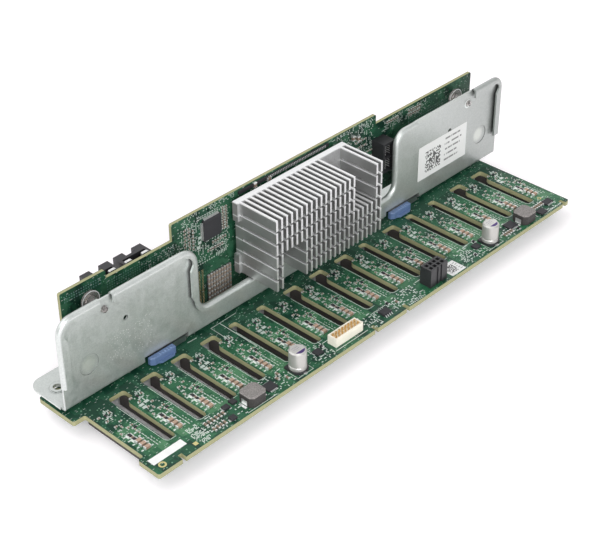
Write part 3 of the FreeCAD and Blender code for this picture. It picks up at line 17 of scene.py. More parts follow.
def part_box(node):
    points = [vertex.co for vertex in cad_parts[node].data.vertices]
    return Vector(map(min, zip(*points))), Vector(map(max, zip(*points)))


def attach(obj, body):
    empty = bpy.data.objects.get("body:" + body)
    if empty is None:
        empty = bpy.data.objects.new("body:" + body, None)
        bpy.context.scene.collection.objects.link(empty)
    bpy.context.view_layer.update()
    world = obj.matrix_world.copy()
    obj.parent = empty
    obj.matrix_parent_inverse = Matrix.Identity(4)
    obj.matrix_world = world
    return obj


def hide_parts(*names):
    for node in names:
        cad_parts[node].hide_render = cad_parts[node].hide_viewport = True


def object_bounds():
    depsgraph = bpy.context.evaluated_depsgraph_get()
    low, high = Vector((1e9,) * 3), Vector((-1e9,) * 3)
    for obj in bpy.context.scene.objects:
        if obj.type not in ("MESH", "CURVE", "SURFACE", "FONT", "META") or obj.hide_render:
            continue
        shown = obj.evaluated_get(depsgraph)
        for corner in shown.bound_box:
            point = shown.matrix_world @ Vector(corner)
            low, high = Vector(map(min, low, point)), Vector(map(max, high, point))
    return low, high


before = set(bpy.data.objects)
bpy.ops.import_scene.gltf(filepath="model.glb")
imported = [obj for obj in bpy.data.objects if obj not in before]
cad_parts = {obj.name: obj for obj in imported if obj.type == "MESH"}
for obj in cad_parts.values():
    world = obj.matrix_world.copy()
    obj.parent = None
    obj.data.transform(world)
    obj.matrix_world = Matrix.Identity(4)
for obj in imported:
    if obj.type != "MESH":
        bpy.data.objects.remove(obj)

CAD_BOX_M = [list(corner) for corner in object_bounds()]
MM = 0.001
LEFT_TAB_REACH = 3.0
BODY = "frame"
EVEN = (1.0, 1.0, 1.0)
LOG = logging.getLogger("backplane")


def datum_m() -> Vector:
    """The datum in metres: the main board's box, less the reach of its left tabs."""
    low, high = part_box("backplane_board")
    return Vector((low.x + LEFT_TAB_REACH * MM, low.y, high.z))


DATUM_M = datum_m()


def node_box(name: str) -> np.ndarray:
    """A node's lowest and highest corner, as two rows in millimetres from the datum."""
    return np.array([(corner - DATUM_M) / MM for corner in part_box(name)])


# ------------------------------------------------------------------ surfaces

@dataclass(frozen=True)
class Shell:
    """A surface: its points, its faces in groups by number of corners, each group's coat."""

    points: np.ndarray
    faces: tuple[np.ndarray, ...]
    coats: tuple[int, ...]

    def coated(self, coat: int) -> "Shell":
        """The same shell with every face in one coat."""
        return replace(self, coats=(coat,) * len(self.faces))

    def changed(self, matrix: np.ndarray) -> "Shell":
        """The shell with each point p at matrix times p."""
        return replace(self, points=self.points @ np.asarray(matrix, float).T)

    def mirrored(self) -> "Shell":
        """The shell mirrored in y, with its faces turned to point outwards again."""
        return replace(self, points=self.points * (1, -1, 1),
                       faces=tuple(f[:, ::-1] for f in self.faces))

    def moved(self, x: float = 0.0, y: float = 0.0, z: float = 0.0) -> "Shell":
        """The shell shifted by x, y and z."""
        return replace(self, points=self.points + (x, y, z))

    def copies(self, places: np.ndarray, turns: float | np.ndarray = 0.0) -> "Shell":
        """One shell of many copies, each turned about Z and then shifted.

        Each point (x, y, z) goes to (x cos t - y sin t, x sin t + y cos t, z) + place.

        Args:
            places: one row of x, y, z for each copy.
            turns: the angle t in radians, the same for all copies or one for each.

        Returns:
            The joined shell.
        """
        places = np.atleast_2d(np.asarray(places, float))
        count, size = len(places), len(self.points)
        turns = np.broadcast_to(turns, count)[:, None]
        x, y, z = self.points.T
        spun = np.stack([x * np.cos(turns) - y * np.sin(turns),
                         x * np.sin(turns) + y * np.cos(turns),
                         np.broadcast_to(z, (count, size))], axis=2)
        starts = (np.arange(count) * size)[:, None, None]
        faces = tuple((f + starts).reshape(-1, f.shape[1]) for f in self.faces)
        return Shell((spun + places[:, None]).reshape(-1, 3), faces, self.coats)

    def standing(self, y: float) -> "Shell":
        """The shell stood on a wall at y that faces forward: (x, y, z) to (x, wall - z, y)."""
        return self.changed([[1, 0, 0], [0, 0, -1], [0, 1, 0]]).moved(y=y)

    def behind(self, y: float) -> "Shell":
        """The shell on a wall at y that faces back: (x, y, z) to (x, wall + z, -y)."""
        return self.changed([[1, 0, 0], [0, 0, 1], [0, -1, 0]]).moved(y=y)


def joined(*shells: Shell) -> Shell:
    """All the shells as one, with their groups of faces as they came.

    Args:
        shells: the shells to join.

    Returns:
        The joined shell.
    """
    starts = np.cumsum([0] + [len(s.points) for s in shells[:-1]])
    return Shell(np.vstack([s.points for s in shells]),
                 tuple(f + start for s, start in zip(shells, starts) for f in s.faces),
                 sum((s.coats for s in shells), ()))


def sleeve(rings: list | np.ndarray, closed: bool = False) -> Shell:
    """A skin of quads from each ring of points to the next.

    Quad (i, j) has the corners (i, j), (i, j + 1), (i + 1, j + 1) and (i + 1, j), where j
    wraps round the ring. A flat disc closes each end, or the last ring joins the first.

    Args:
        rings: rings of equally many points, anticlockwise as seen from the last ring.
        closed: whether the last ring joins the first.

    Returns:
        The shell, in coat 0 and with its faces outwards.
    """
    rings = np.asarray(rings, float)
    count, steps = rings.shape[:2]
    i, j = np.meshgrid(np.arange(count if closed else count - 1), np.arange(steps),
                       indexing="ij")
    here, above = i * steps, (i + 1) % count * steps
    after = (j + 1) % steps
    quads = np.stack([here + j, here + after, above + after, above + j], axis=2)
    ends = () if closed else (np.arange(steps)[::-1][None],
                              np.arange(steps)[None] + (count - 1) * steps)
    faces = (quads.reshape(-1, 4), *ends)
    return Shell(rings.reshape(-1, 3), faces, (0,) * len(faces))


def level(outline: np.ndarray, height: float) -> np.ndarray:
    """The points of an outline (x, y) at one height."""
    return np.column_stack([outline, np.full(len(outline), height)])


def arc(angle: np.ndarray) -> np.ndarray:
    """Points (cos a, sin a) of a unit circle at the given angles."""
    return np.stack([np.cos(angle), np.sin(angle)], axis=-1)


def circle(steps: int) -> np.ndarray:
    """Points at equal steps round a unit circle."""
    return arc(np.linspace(0, 2 * np.pi, steps, endpoint=False))


def block(width: float, depth: float, height: float, bevel: float = 0.0) -> Shell:
    """A block on z = 0, centred in x and y, with a 45 degree bevel round its top.

    Its rings are the corners (+-w/2, +-d/2) at 0 and h - b, and drawn in by b at h.

    Args:
        width: its size along x.
        depth: its size along y.
        height: its size along z.
        bevel: how far the top edge is drawn in, or 0 for a sharp edge.

    Returns:
        The block.
    """
    corners = np.array([[-1, -1], [1, -1], [1, 1], [-1, 1]])
    half = np.array([width, depth]) / 2
    levels = [(0.0, 0.0), (height - bevel, 0.0)] + ([(height, bevel)] if bevel else [])
    return sleeve([level(corners * (half - inset), z) for z, inset in levels])


def prism(outline: np.ndarray, low: float, high: float) -> Shell:
    """A plate of an anticlockwise outline (x, y) between two heights."""
    return sleeve([level(outline, z) for z in (low, high)])


def lathe(profile: list, steps: int) -> Shell:
    """A turned solid: profile rows (r, z), from foot to top, as rings (r cos a, r sin a, z)."""
    return sleeve([level(circle(steps) * radius, z) for radius, z in profile])


def ring(radius: float, width: float, height: float) -> Shell:
    """A flat ring on z = 0: a rectangle of width by height carried round a circle.

    Args:
        radius: the circle's radius, at the middle of the width.
        width: the ring's size along its radius.
        height: the ring's size along z.

    Returns:
        The ring.
    """
    steps = 32
    inner, outer = radius - width / 2, radius + width / 2
    section = ((inner, 0.0), (outer, 0.0), (outer, height), (inner, height))
    return sleeve([level(circle(steps) * r, z) for r, z in section], closed=True)


def directions(path: np.ndarray) -> np.ndarray:
    """The unit direction of a path at each of its points."""
    along = np.gradient(path, axis=0)
    return along / np.linalg.norm(along, axis=1, keepdims=True)


def outlined(path: list | np.ndarray, width: float) -> np.ndarray:
    """The loop round a flat path of one width.

    It goes out by p - n w / 2 and back by p + n w / 2, with n square to the path.

    Args:
        path: rows of the path's two coordinates.
        width: the path's width w.

    Returns:
        The anticlockwise loop.
    """
    path = np.asarray(path, float)
    along = directions(path)
    side = np.column_stack([-along[:, 1], along[:, 0]]) * width / 2
    return np.vstack([path - side, (path + side)[::-1]])


def stroke(path: list | np.ndarray, width: float, height: float) -> Shell:
    """A line of ink: a path (x, y) of one width, height thick."""
    return prism(outlined(path, width), 0.0, height)


def ribbon(path: list | np.ndarray, thickness: float, width: float) -> Shell:
    """A bent strip: a path (x, z) of one thickness, carried along y by its width."""
    flat = prism(outlined(path, thickness), -width / 2, width / 2)
    return flat.changed([[1, 0, 0], [0, 0, -1], [0, 1, 0]])


def tube(path: np.ndarray, radius: float, sides: int) -> Shell:
    """A round wire along a path, closed by a disc at each end.

    Ring i is p_i + r (cos a n_i + sin a b_i), with n_i square to the path's direction and to
    the axis along which the path spreads least, and b_i square to both.

    Args:
        path: rows of x, y, z.
        radius: the wire's radius.
        sides: the number of points round the wire.

    Returns:
        The wire.
    """
    along = directions(path)
    axis = np.eye(3)[int(np.argmin(np.ptp(path, axis=0)))]
    normal = np.cross(along, axis)
    normal /= np.linalg.norm(normal, axis=1, keepdims=True)
    side = np.cross(along, normal)
    cos, sin = circle(sides).T[..., None]
    return sleeve(path[:, None] + radius * (cos * normal[:, None] + sin * side[:, None]))


def rounded(width: float, depth: float, radius: float, steps: int = 4) -> np.ndarray:
    """A rectangle round the origin with round corners: corner centre + r (cos a, sin a).

    Args:
        width: its size along x.
        depth: its size along y.
        radius: the radius of its corners.
        steps: the number of straight runs round each corner.

    Returns:
        The anticlockwise outline, as rows of x, y.
    """
    angle = np.linspace(0, np.pi / 2, steps + 1) + np.arange(4)[:, None] * np.pi / 2
    signs = np.array([(1, 1), (-1, 1), (-1, -1), (1, -1)])
    centres = signs * (np.array([width, depth]) / 2 - radius)
    return (radius * arc(angle) + centres[:, None]).reshape(-1, 2)


def make_piece(name: str, shell: Shell, coats: list["Finish"], body: str = BODY,
               smooth: float = 0.0) -> bpy.types.Object:
    """Make an object of a shell, ride it on a body and report it.

    Args:
        name: the object's name.
        shell: its surface, in millimetres from the datum.
        coats: the finish of each coat number.
        body: the CAD body that it moves with.
        smooth: faces that meet at less than this angle in degrees are shaded as one.

    Returns:
        The object.
    """
    mesh = bpy.data.meshes.new(name)
    points = shell.points * MM + np.array(DATUM_M)
    polygons = [corners for group in shell.faces for corners in group.tolist()]
    mesh.from_pydata(points.tolist(), [], polygons)
    for finish in coats:
        mesh.materials.append(finish.material())
    coat = np.repeat(shell.coats, [len(group) for group in shell.faces]).astype(np.int32)
    mesh.polygons.foreach_set("material_index", coat)
    if smooth:
        mesh.polygons.foreach_set("use_smooth", np.ones(len(polygons), bool))
        mesh.set_sharp_from_angle(angle=math.radians(smooth))
    mesh.update()
    piece = bpy.data.objects.new(name, mesh)
    bpy.context.scene.collection.objects.link(piece)
    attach(piece, body)
    LOG.info("%s: %d faces on %s", name, len(polygons), body)
    return piece


# ------------------------------------------------------------------ places

def row(count: int, pitch: float, middle: float = 0.0) -> np.ndarray:
    """Places of an evenly spaced row about its middle."""
    return (np.arange(count) - (count - 1) / 2) * pitch + middle


def line(start: float, pitch: float, count: int) -> np.ndarray:
    """Places start, start + pitch and so on."""
    return start + pitch * np.arange(count)


def grid(columns: float | np.ndarray, rows: float | np.ndarray, z: float = 0.0) -> np.ndarray:
    """Every place (column, row, z) as one row each."""
    u, v = np.meshgrid(columns, rows)
    return np.column_stack([u.ravel(), v.ravel(), np.full(u.size, z)])


def scattered(low: tuple, high: tuple, count: int, seed: int, step: float) -> np.ndarray:
    """Random places in a rectangle, no two in one cell of a square lattice.

    Args:
        low: the rectangle's lowest x and y.
        high: its highest x and y.
        count: how many places.
        seed: the seed of the draw.
        step: the lattice's pitch.

    Returns:
        The places, in the lattice's order.
    """
    places = grid(*(np.arange(a, b + step / 2, step) for a, b in zip(low, high)))
    order = np.random.default_rng(seed).permutation(len(places))
    return places[np.sort(order[:count])]


def sprinkled(areas: tuple, step: float, shapes: tuple, covers: tuple = (),
              margin: float = 0.0) -> Shell:
    """Small lands at random places of several areas, their shapes in turn.

    Args:
        areas: the low corner, high corner, count and seed of each area.
        step: the lattice's pitch.
        shapes: the shells that take turns.
        covers: nodes that no land lies under.
        margin: how far from those nodes a land's middle stays.

    Returns:
        All the lands.
    """
    shells = []
    for area in areas:
        places = scattered(*area, step)
        for name in covers:
            low, high = node_box(name)[:, :2]
            inside = (places[:, :2] > low - margin) & (places[:, :2] < high + margin)
            places = places[~inside.all(1)]
        turn = np.arange(len(places)) % len(shapes)
        shells += [shape.copies(places[turn == t]) for t, shape in enumerate(shapes)]
    return joined(*shells)


def quarter_turns(count: int, seed: int) -> np.ndarray:
    """Random turns of nought or a quarter."""
    return np.random.default_rng(seed).integers(0, 2, count) * np.pi / 2


# ------------------------------------------------------------------ part shapes

UPRIGHT = np.pi / 2
PRINT_HEIGHT = 0.03
PAPER_HEIGHT = 0.05


def sheet(width: float, depth: float, corner: float, x: float, y: float,
          height: float = PAPER_HEIGHT) -> Shell:
    """A thin plate with round corners and its middle at x and y."""
    return prism(rounded(width, depth, corner) + (x, y), 0.0, height)


def two_ended(length: float, width: float, height: float, cap: float) -> Shell:
    """A chip part along x: a body in coat 0 between two proud end caps in coat 1.

    Args:
        length: its size along x, caps included.
        width: the caps' size along y; the body is 6% less.
        height: the caps' size along z; the body is 5% less.
        cap: each cap's length.

    Returns:
        The part.
    """
    body_bevel, cap_bevel = 0.07, 0.09
    body = block(length - cap, width * 0.94, height * 0.95, body_bevel)
    end = block(cap, width, height, cap_bevel).coated(1)
    reach = (length - cap) / 2
    return joined(body, end.moved(x=-reach), end.moved(x=reach))


def land(width: float, depth: float, height: float = 0.06) -> Shell:
    """A solder land: a thin plate whose edge is drawn in by a third of its height."""
    return block(width, depth, height, height / 3)


def gull_wing(reach: float, rise: float, width: float) -> Shell:
    """A lead that leaves a package at a height, drops in an S and lies flat at its foot.

    The path runs out along x: level at the rise, down the step 1 - (3 t^2 - 2 t^3) of it
    between 20% and 60% of the reach, and level at the foot.

    Args:
        reach: how far the foot's end is from the package.
        rise: the height at which the lead leaves the package.
        width: the lead's width.

    Returns:
        The lead.
    """
    thickness, tuck, foot = 0.14, 0.15, 0.09
    t = np.linspace(0, 1, 7)
    step = np.column_stack([(0.2 + 0.4 * t) * reach,
                            rise * (1 - (3 * t ** 2 - 2 * t ** 3)) + foot])
    return ribbon(np.vstack([(-tuck, rise + foot), step, (reach, foot)]), thickness, width)


def package(width: float, depth: float, height: float) -> Shell:
    """A moulded package: a plain lower half and an upper half with a drawn-in top edge.

    Args:
        width: its size along x.
        depth: its size along y.
        height: its size along z, without the gap under it.

    Returns:
        The package.
    """
    stand_off, half, draft = 0.1, height / 2, 0.28
    return joined(block(width, depth, half).moved(z=stand_off),
                  block(width, depth, half, draft).moved(z=stand_off + half))


# ------------------------------------------------------------------ shader maths

class Value:
    """A number or vector in a material, with arithmetic that adds its Math nodes."""

    def __init__(self, paint: "Paint", socket: bpy.types.NodeSocket) -> None:
        """Wrap one output socket of a paint's node."""
        self.paint = paint
        self.socket = socket

    def _math(self, operation: str, *inputs: object) -> "Value":
        """One Math node of the given operation."""
        return self.paint.node("ShaderNodeMath", {"operation": operation},
                               dict(enumerate(inputs)))

    def __add__(self, other: object) -> "Value":
        """Self plus other."""
        return self._math("ADD", self, other)

    __radd__ = __add__

    def __sub__(self, other: object) -> "Value":
        """Self less other."""
        return self._math("SUBTRACT", self, other)

    def __rsub__(self, other: object) -> "Value":
        """Other less self."""
        return self._math("SUBTRACT", other, self)

    def __mul__(self, other: object) -> "Value":
        """Self times other."""
        return self._math("MULTIPLY", self, other)

    __rmul__ = __mul__

    def __truediv__(self, other: object) -> "Value":
        """Self over other."""
        return self._math("DIVIDE", self, other)

    def __abs__(self) -> "Value":
        """Self without its sign."""
        return self._math("ABSOLUTE", self)

    def wrapped(self, pitch: float) -> "Value":
        """Self less the whole pitches below it."""
        return self._math("FLOORED_MODULO", self, pitch)

    def floored(self) -> "Value":
        """The whole number below self."""
        return self._math("FLOOR", self)

    def least(self, other: object) -> "Value":
        """The lesser of self and other."""
        return self._math("MINIMUM", self, other)

    def most(self, other: object) -> "Value":
        """The greater of self and other."""
        return self._math("MAXIMUM", self, other)

    def rise(self, low: object, high: object) -> "Value":
        """0 below low and 1 above high, smooth between; low may be the greater."""
        return self.paint.node("ShaderNodeMapRange", {"interpolation_type": "SMOOTHSTEP"},
                               {"Value": self, "From Min": low, "From Max": high})

    def within(self, low: float, high: float, soft: float = 0.1) -> "Value":
        """1 between low and high and 0 outside, with soft edges."""
        half = soft / 2
        return self.rise(low - half, low + half) * self.rise(high + half, high - half)


class Paint:
    """Builds one material's nodes."""

    def __init__(self, name: str) -> None:
        """Start a material with no nodes.

        Args:
            name: the material's name.
        """
        self.material = bpy.data.materials.new(name)
        self.material.use_nodes = True
        self.tree = self.material.node_tree
        self.tree.nodes.clear()

    def node(self, kind: str, settings: dict | None = None, inputs: dict | None = None,
             output: int | str | None = 0) -> Value:
        """Add a node.

        Args:
            kind: the node's type.
            settings: its properties, set first; "stops" are a ramp's (position, colour).
            inputs: its sockets by name or number, each a Value, a number or a tuple.
            output: the output socket that is returned.

        Returns:
            That output.
        """
        made = self.tree.nodes.new(kind)
        for name, value in (settings or {}).items():
            if name == "stops":
                elements = made.color_ramp.elements
                while len(elements) < len(value):
                    elements.new(1.0)
                for element, (position, colour) in zip(elements, value):
                    element.position = position
                    element.color = (*colour, 1.0)
            else:
                setattr(made, name, value)
        for name, value in (inputs or {}).items():
            socket = made.inputs[name]
            if isinstance(value, Value):
                self.tree.links.new(value.socket, socket)
            elif isinstance(value, tuple) and len(value) == 3 and socket.type == "RGBA":
                socket.default_value = (*value, 1.0)
            else:
                socket.default_value = value
        return Value(self, None if output is None else made.outputs[output])

    def parts(self, vector: Value) -> tuple[Value, Value, Value]:
        """A vector's x, y and z."""
        split = self.node("ShaderNodeSeparateXYZ", None, {0: vector})
        return tuple(Value(self, out) for out in split.socket.node.outputs)

    def point(self, stretch: tuple = EVEN) -> Value:
        """The surface point in millimetres from the datum, each axis times its stretch.

        Args:
            stretch: the factor on each axis.

        Returns:
            The point.
        """
        place = self.node("ShaderNodeTexCoord", output="Object")
        return self.node("ShaderNodeMapping", {"vector_type": "POINT"}, {
            "Vector": place,
            "Location": tuple(-d / MM * s for d, s in zip(DATUM_M, stretch)),
            "Scale": tuple(s / MM for s in stretch)})

    def axes(self) -> tuple[Value, Value, Value]:
        """The point's x, y and z in millimetres."""
        return self.parts(self.point())

    def facing(self) -> tuple[Value, Value, Value]:
        """The x, y and z of the surface's own direction."""
        return self.parts(self.node("ShaderNodeTexCoord", output="Normal"))

    def noise(self, scale: float, stretch: tuple = EVEN, detail: float = 3.0,
              rough: float = 0.5) -> Value:
        """Soft noise about 0.5.

        Args:
            scale: the number of waves in a millimetre.
            stretch: the factor on each axis of the point.
            detail: how many finer waves are added.
            rough: how strong each finer wave is.

        Returns:
            The noise.
        """
        return self.node("ShaderNodeTexNoise", {"noise_dimensions": "3D"}, {
            "Vector": self.point(stretch), "Scale": scale, "Detail": detail,
            "Roughness": rough})

    def cells(self, scale: float, metric: str = "EUCLIDEAN", random: float = 1.0,
              output: str = "Distance", stretch: tuple = EVEN) -> Value:
        """A Voronoi pattern: the distance to the nearest centre, or the cell's colour.

        Args:
            scale: the number of cells in a millimetre.
            metric: how distance is measured.
            random: how far the centres leave a square lattice, from 0 to 1.
            output: Distance or Color.
            stretch: the factor on each axis of the point.

        Returns:
            The pattern.
        """
        return self.node("ShaderNodeTexVoronoi", {"feature": "F1", "distance": metric}, {
            "Vector": self.point(stretch), "Scale": scale, "Randomness": random}, output)

    def shades(self, scale: float, **how: object) -> Value:
        """A steady random number from 0 to 1 for each Voronoi cell: its colour's red."""
        colour = self.cells(scale, output="Color", **how)
        return self.node("ShaderNodeSeparateColor", None, {0: colour})

    def chance(self, *parts: object) -> Value:
        """A steady random number from 0 to 1 for each whole-number place.

        Args:
            parts: the place's coordinates, up to three.

        Returns:
            The number.
        """
        spot = self.node("ShaderNodeCombineXYZ", None, dict(enumerate(parts)))
        return self.node("ShaderNodeTexWhiteNoise", {"noise_dimensions": "3D"},
                         {"Vector": spot})

    def mix(self, factor: object, first: object, second: object) -> Value:
        """The first colour where factor is 0 and the second where it is 1."""
        return self.node("ShaderNodeMix", {"data_type": "RGBA", "clamp_factor": True},
                         {0: factor, 6: first, 7: second}, 2)

    def tinted(self, colour: object, amount: Value) -> Value:
        """A colour times a number."""
        return self.node("ShaderNodeVectorMath", {"operation": "SCALE"},
                         {0: colour, "Scale": amount})

    def relief(self, height: Value, depth: float) -> Value:
        """A bump whose full height is depth millimetres."""
        return self.node("ShaderNodeBump", None, {
            "Height": height, "Distance": depth * MM, "Strength": 1.0})

    def finish(self, **inputs: object) -> bpy.types.Material:
        """End the material in a Principled shader.

        Args:
            inputs: the shader's sockets by name, with underscores for spaces.

        Returns:
            The material.
        """
        named = {name.replace("_", " "): value for name, value in inputs.items()}
        surface = self.node("ShaderNodeBsdfPrincipled", None, named)
        self.node("ShaderNodeOutputMaterial", None, {0: surface}, None)
        return self.material


# ------------------------------------------------------------------ finishes

class Finish:
    """A surface finish that makes its material once and shares it."""

    made: dict["Finish", bpy.types.Material] = {}
    label: str

    def material(self) -> bpy.types.Material:
        """The finish's material, made at its first use.

        Returns:
            The material, named by the finish's label.
        """
        if self not in Finish.made:
            Finish.made[self] = self.build(Paint(self.label))
        return Finish.made[self]

    def build(self, paint: Paint) -> bpy.types.Material:
        """Build the nodes; each finish has its own."""
        raise NotImplementedError


@dataclass(frozen=True)
class Plastic(Finish):
    """Moulded plastic: fine grain, faint flow marks and a little dust."""

    label: str
    colour: tuple
    shine: float = 0.45
    grain: float = 0.02
    coat: float = 0.0
    see_through: float = 0.0
    dust_colour: tuple = (0.62, 0.6, 0.57)

    def build(self, paint: Paint) -> bpy.types.Material:
        """Colour times 1 +- 0.12 of soft noise; roughness and bump follow a finer noise.

        Args:
            paint: the material's nodes.

        Returns:
            The material.
        """
        flow = paint.noise(0.25, (1.0, 1.0, 2.5))
        grain = paint.noise(5.0, detail=4.0)
        dust = paint.noise(1.3, detail=5.0, rough=0.7).rise(0.62, 0.78)
        colour = paint.tinted(self.colour, flow * 0.24 + 0.88)
        colour = paint.mix(dust * 0.08, colour, self.dust_colour)
        return paint.finish(
            Base_Color=colour, Roughness=(grain - 0.5) * 0.2 + (1.0 - self.shine) + dust * 0.1,
            Normal=paint.relief(grain, self.grain), Coat_Weight=self.coat, Coat_Roughness=0.12,
            Transmission_Weight=self.see_through, IOR=1.5)


@dataclass(frozen=True)
class Metal(Finish):
    """Bare or plated metal with a drawn grain along Z."""

    label: str
    colour: tuple
    rough: float = 0.35
    metallic: float = 1.0
    streak: tuple = (1.0, 1.0, 0.08)
    scratch: float = 0.006

    def build(self, paint: Paint) -> bpy.types.Material:
        """Streaks are noise stretched along the grain; tarnish is a slow noise.

        Args:
            paint: the material's nodes.

        Returns:
            The material.
        """
        lines = paint.noise(6.0, self.streak, detail=2.0)
        tarnish = paint.noise(0.12, detail=4.0)
        colour = paint.tinted(self.colour, lines * 0.14 + tarnish * 0.2 + 0.83)
        return paint.finish(
            Base_Color=colour, Metallic=self.metallic,
            Roughness=(lines - 0.5) * 0.2 + (tarnish - 0.5) * 0.15 + self.rough,
            Normal=paint.relief(lines, self.scratch))


class Lie(Enum):
    """How a circuit board or a label lies: flat, or upright along X."""

    FLAT = "flat"
    UPRIGHT = "upright"

    def across(self, x: object, y: object, z: object) -> tuple:
        """The two axes along the face and the one square to it."""
        return (x, y, z) if self is Lie.FLAT else (x, z, y)


@dataclass(frozen=True)
class SolderMask(Finish):
    """Green solder mask over copper, with bare woven laminate on the cut edges.

    Sizes with a u or a v are along the face: u along X, and v along Y or Z. Each is a low
    edge and a high edge, and a third number is how soft both are. The painted shade
    towards the bracket runs from its pale edge to its dark one.
    """

    label: str
    lie: Lie
    face_low: float
    face_high: float
    dark: tuple = (0.006, 0.043, 0.025)
    mid: tuple = (0.016, 0.100, 0.043)
    light: tuple = (0.080, 0.222, 0.110)
    track_green: tuple = (0.05, 0.22, 0.115)
    via_rim: tuple = (0.24, 0.47, 0.31)
    via_hole: tuple = (0.02, 0.06, 0.04)
    silk: tuple = (0.66, 0.72, 0.66)
    laminate: tuple = (0.375, 0.372, 0.21)
    strip_left: float = 3.45
    strip_pitch: float = 17.2
    pour_u: tuple = (0.8, 11.6)
    pour_v: tuple = (9.5, 31.0)
    # painted shade near the bracket: the copper pours fade between y 41.5 and 44, so the mask
    # darkens
    painted_shade_v: tuple = (44.0, 41.5)
    track_pitch: float = 0.52
    track: tuple = (0.1, 0.3, 0.08)
    via_scale: float = 0.66
    via_spread: float = 0.7
    dash_pitch_u: float = 1.5
    dash_pitch_v: float = 0.9
    dash_u: tuple = (0.3, 1.2, 0.05)
    dash_v: tuple = (0.3, 0.5, 0.05)

    def pours(self, paint: Paint, u: Value, v: Value) -> Value:
        """Copper areas under the mask, from 0, none, to 1, solid.

        They are rectangular cells of two sizes, and on a flat board one solid tongue on
        each strip too, all fainter behind the painted shade's line near the bracket.

        Args:
            paint: the material's nodes.
            u: the place along X.
            v: the place along the face's other axis.

        Returns:
            How much copper there is.
        """
        broad = self.patch(paint, 0.11, 0.5)
        fine = self.patch(paint, 0.31, 0.62)
        if self.lie is Lie.UPRIGHT:
            return broad * 0.45 + fine * 0.3
        local = (u - self.strip_left).wrapped(self.strip_pitch)
        tongue = local.within(*self.pour_u, 0.3) * v.within(*self.pour_v, 0.3)
        # the pours fade behind the painted shade's line, painting shade along the bracket wall
        return ((tongue * 0.5 + broad * 0.35 + fine * 0.2)
                * (v.rise(*self.painted_shade_v) * 0.85 + 0.15))

    def patch(self, paint: Paint, scale: float, share: float) -> Value:
        """Sharp rectangular cells, of which a share is 0 and the rest 1.

        Args:
            paint: the material's nodes.
            scale: the number of cells in a millimetre.
            share: the share of cells at 0.

        Returns:
            The pattern.
        """
        shades = paint.shades(scale, metric="CHEBYCHEV",
                              stretch=self.lie.across(1.0, 1.0, 0.02))
        return shades.rise(share - 0.01, share + 0.01)

    def build(self, paint: Paint) -> bpy.types.Material:
        """Pours, tracks, vias and dashes of print, each from the point's place on the board.

        Tracks are lines at one pitch that run along or across by cell. A via is a disc
        round a Voronoi point with a dark hole in it. The laminate shows where the point
        lies between the two faces.

        Args:
            paint: the material's nodes.

        Returns:
            The material.
        """
        u, v, w = self.lie.across(*paint.axes())
        pour = self.pours(paint, u, v)
        colour = paint.node("ShaderNodeValToRGB", {"stops": [
            (0.0, self.dark), (0.45, self.mid), (1.0, self.light)]}, {0: pour})

        along = self.patch(paint, 0.17, 0.5)
        lines_u = u.wrapped(self.track_pitch).within(*self.track)
        lines_v = v.wrapped(self.track_pitch).within(*self.track)
        routed = self.patch(paint, 0.21, 0.42) * (1 - pour.rise(0.55, 0.7))
        tracks = (lines_u * along + lines_v * (1 - along)) * routed
        colour = paint.mix(tracks * 0.5, colour, self.track_green)

        how = {"random": self.via_spread, "stretch": self.lie.across(1.0, 1.0, 0.02)}
        via = paint.cells(self.via_scale, **how)
        here = paint.shades(self.via_scale, **how).rise(0.4, 0.42)
        rim = via.rise(0.25, 0.20) * here
        hole = via.rise(0.10, 0.07) * here
        colour = paint.mix(rim * 0.8, colour, self.via_rim)
        colour = paint.mix(hole * 0.6, colour, self.via_hole)

        printed = paint.chance((u / self.dash_pitch_u).floored(),
                               (v / self.dash_pitch_v).floored()).rise(0.9, 0.905)
        dash = (u.wrapped(self.dash_pitch_u).within(*self.dash_u)
                * v.wrapped(self.dash_pitch_v).within(*self.dash_v))
        colour = paint.mix(dash * printed * 0.8, colour, self.silk)

        wear = paint.noise(0.35, detail=5.0)
        colour = paint.tinted(colour, wear * 0.3 + 0.85)
        edge = w.within(self.face_low + 0.05, self.face_high - 0.05, 0.04)
        plies = paint.noise(1.0, self.lie.across(0.25, 0.25, 9.0))
        fray = paint.noise(2.2, detail=5.0)
        cut = paint.tinted(self.laminate, plies * 0.45 + fray * 0.3 + 0.62)
        colour = paint.mix(edge, colour, cut)

        weave = paint.noise(1.8, (1.0, 6.0, 1.0)) + paint.noise(1.8, (6.0, 1.0, 1.0))
        height = (tracks * 0.5 + pour.least(1.0) * 0.4 + rim * 0.8 - hole * 1.4
                  + weave * 0.15 + dash * printed * 0.4)
        rough = edge * 0.4 + 0.32 + (wear - 0.5) * 0.25
        return paint.finish(Base_Color=colour, Roughness=rough,
                            Normal=paint.relief(height, 0.05), Specular_IOR_Level=0.3)


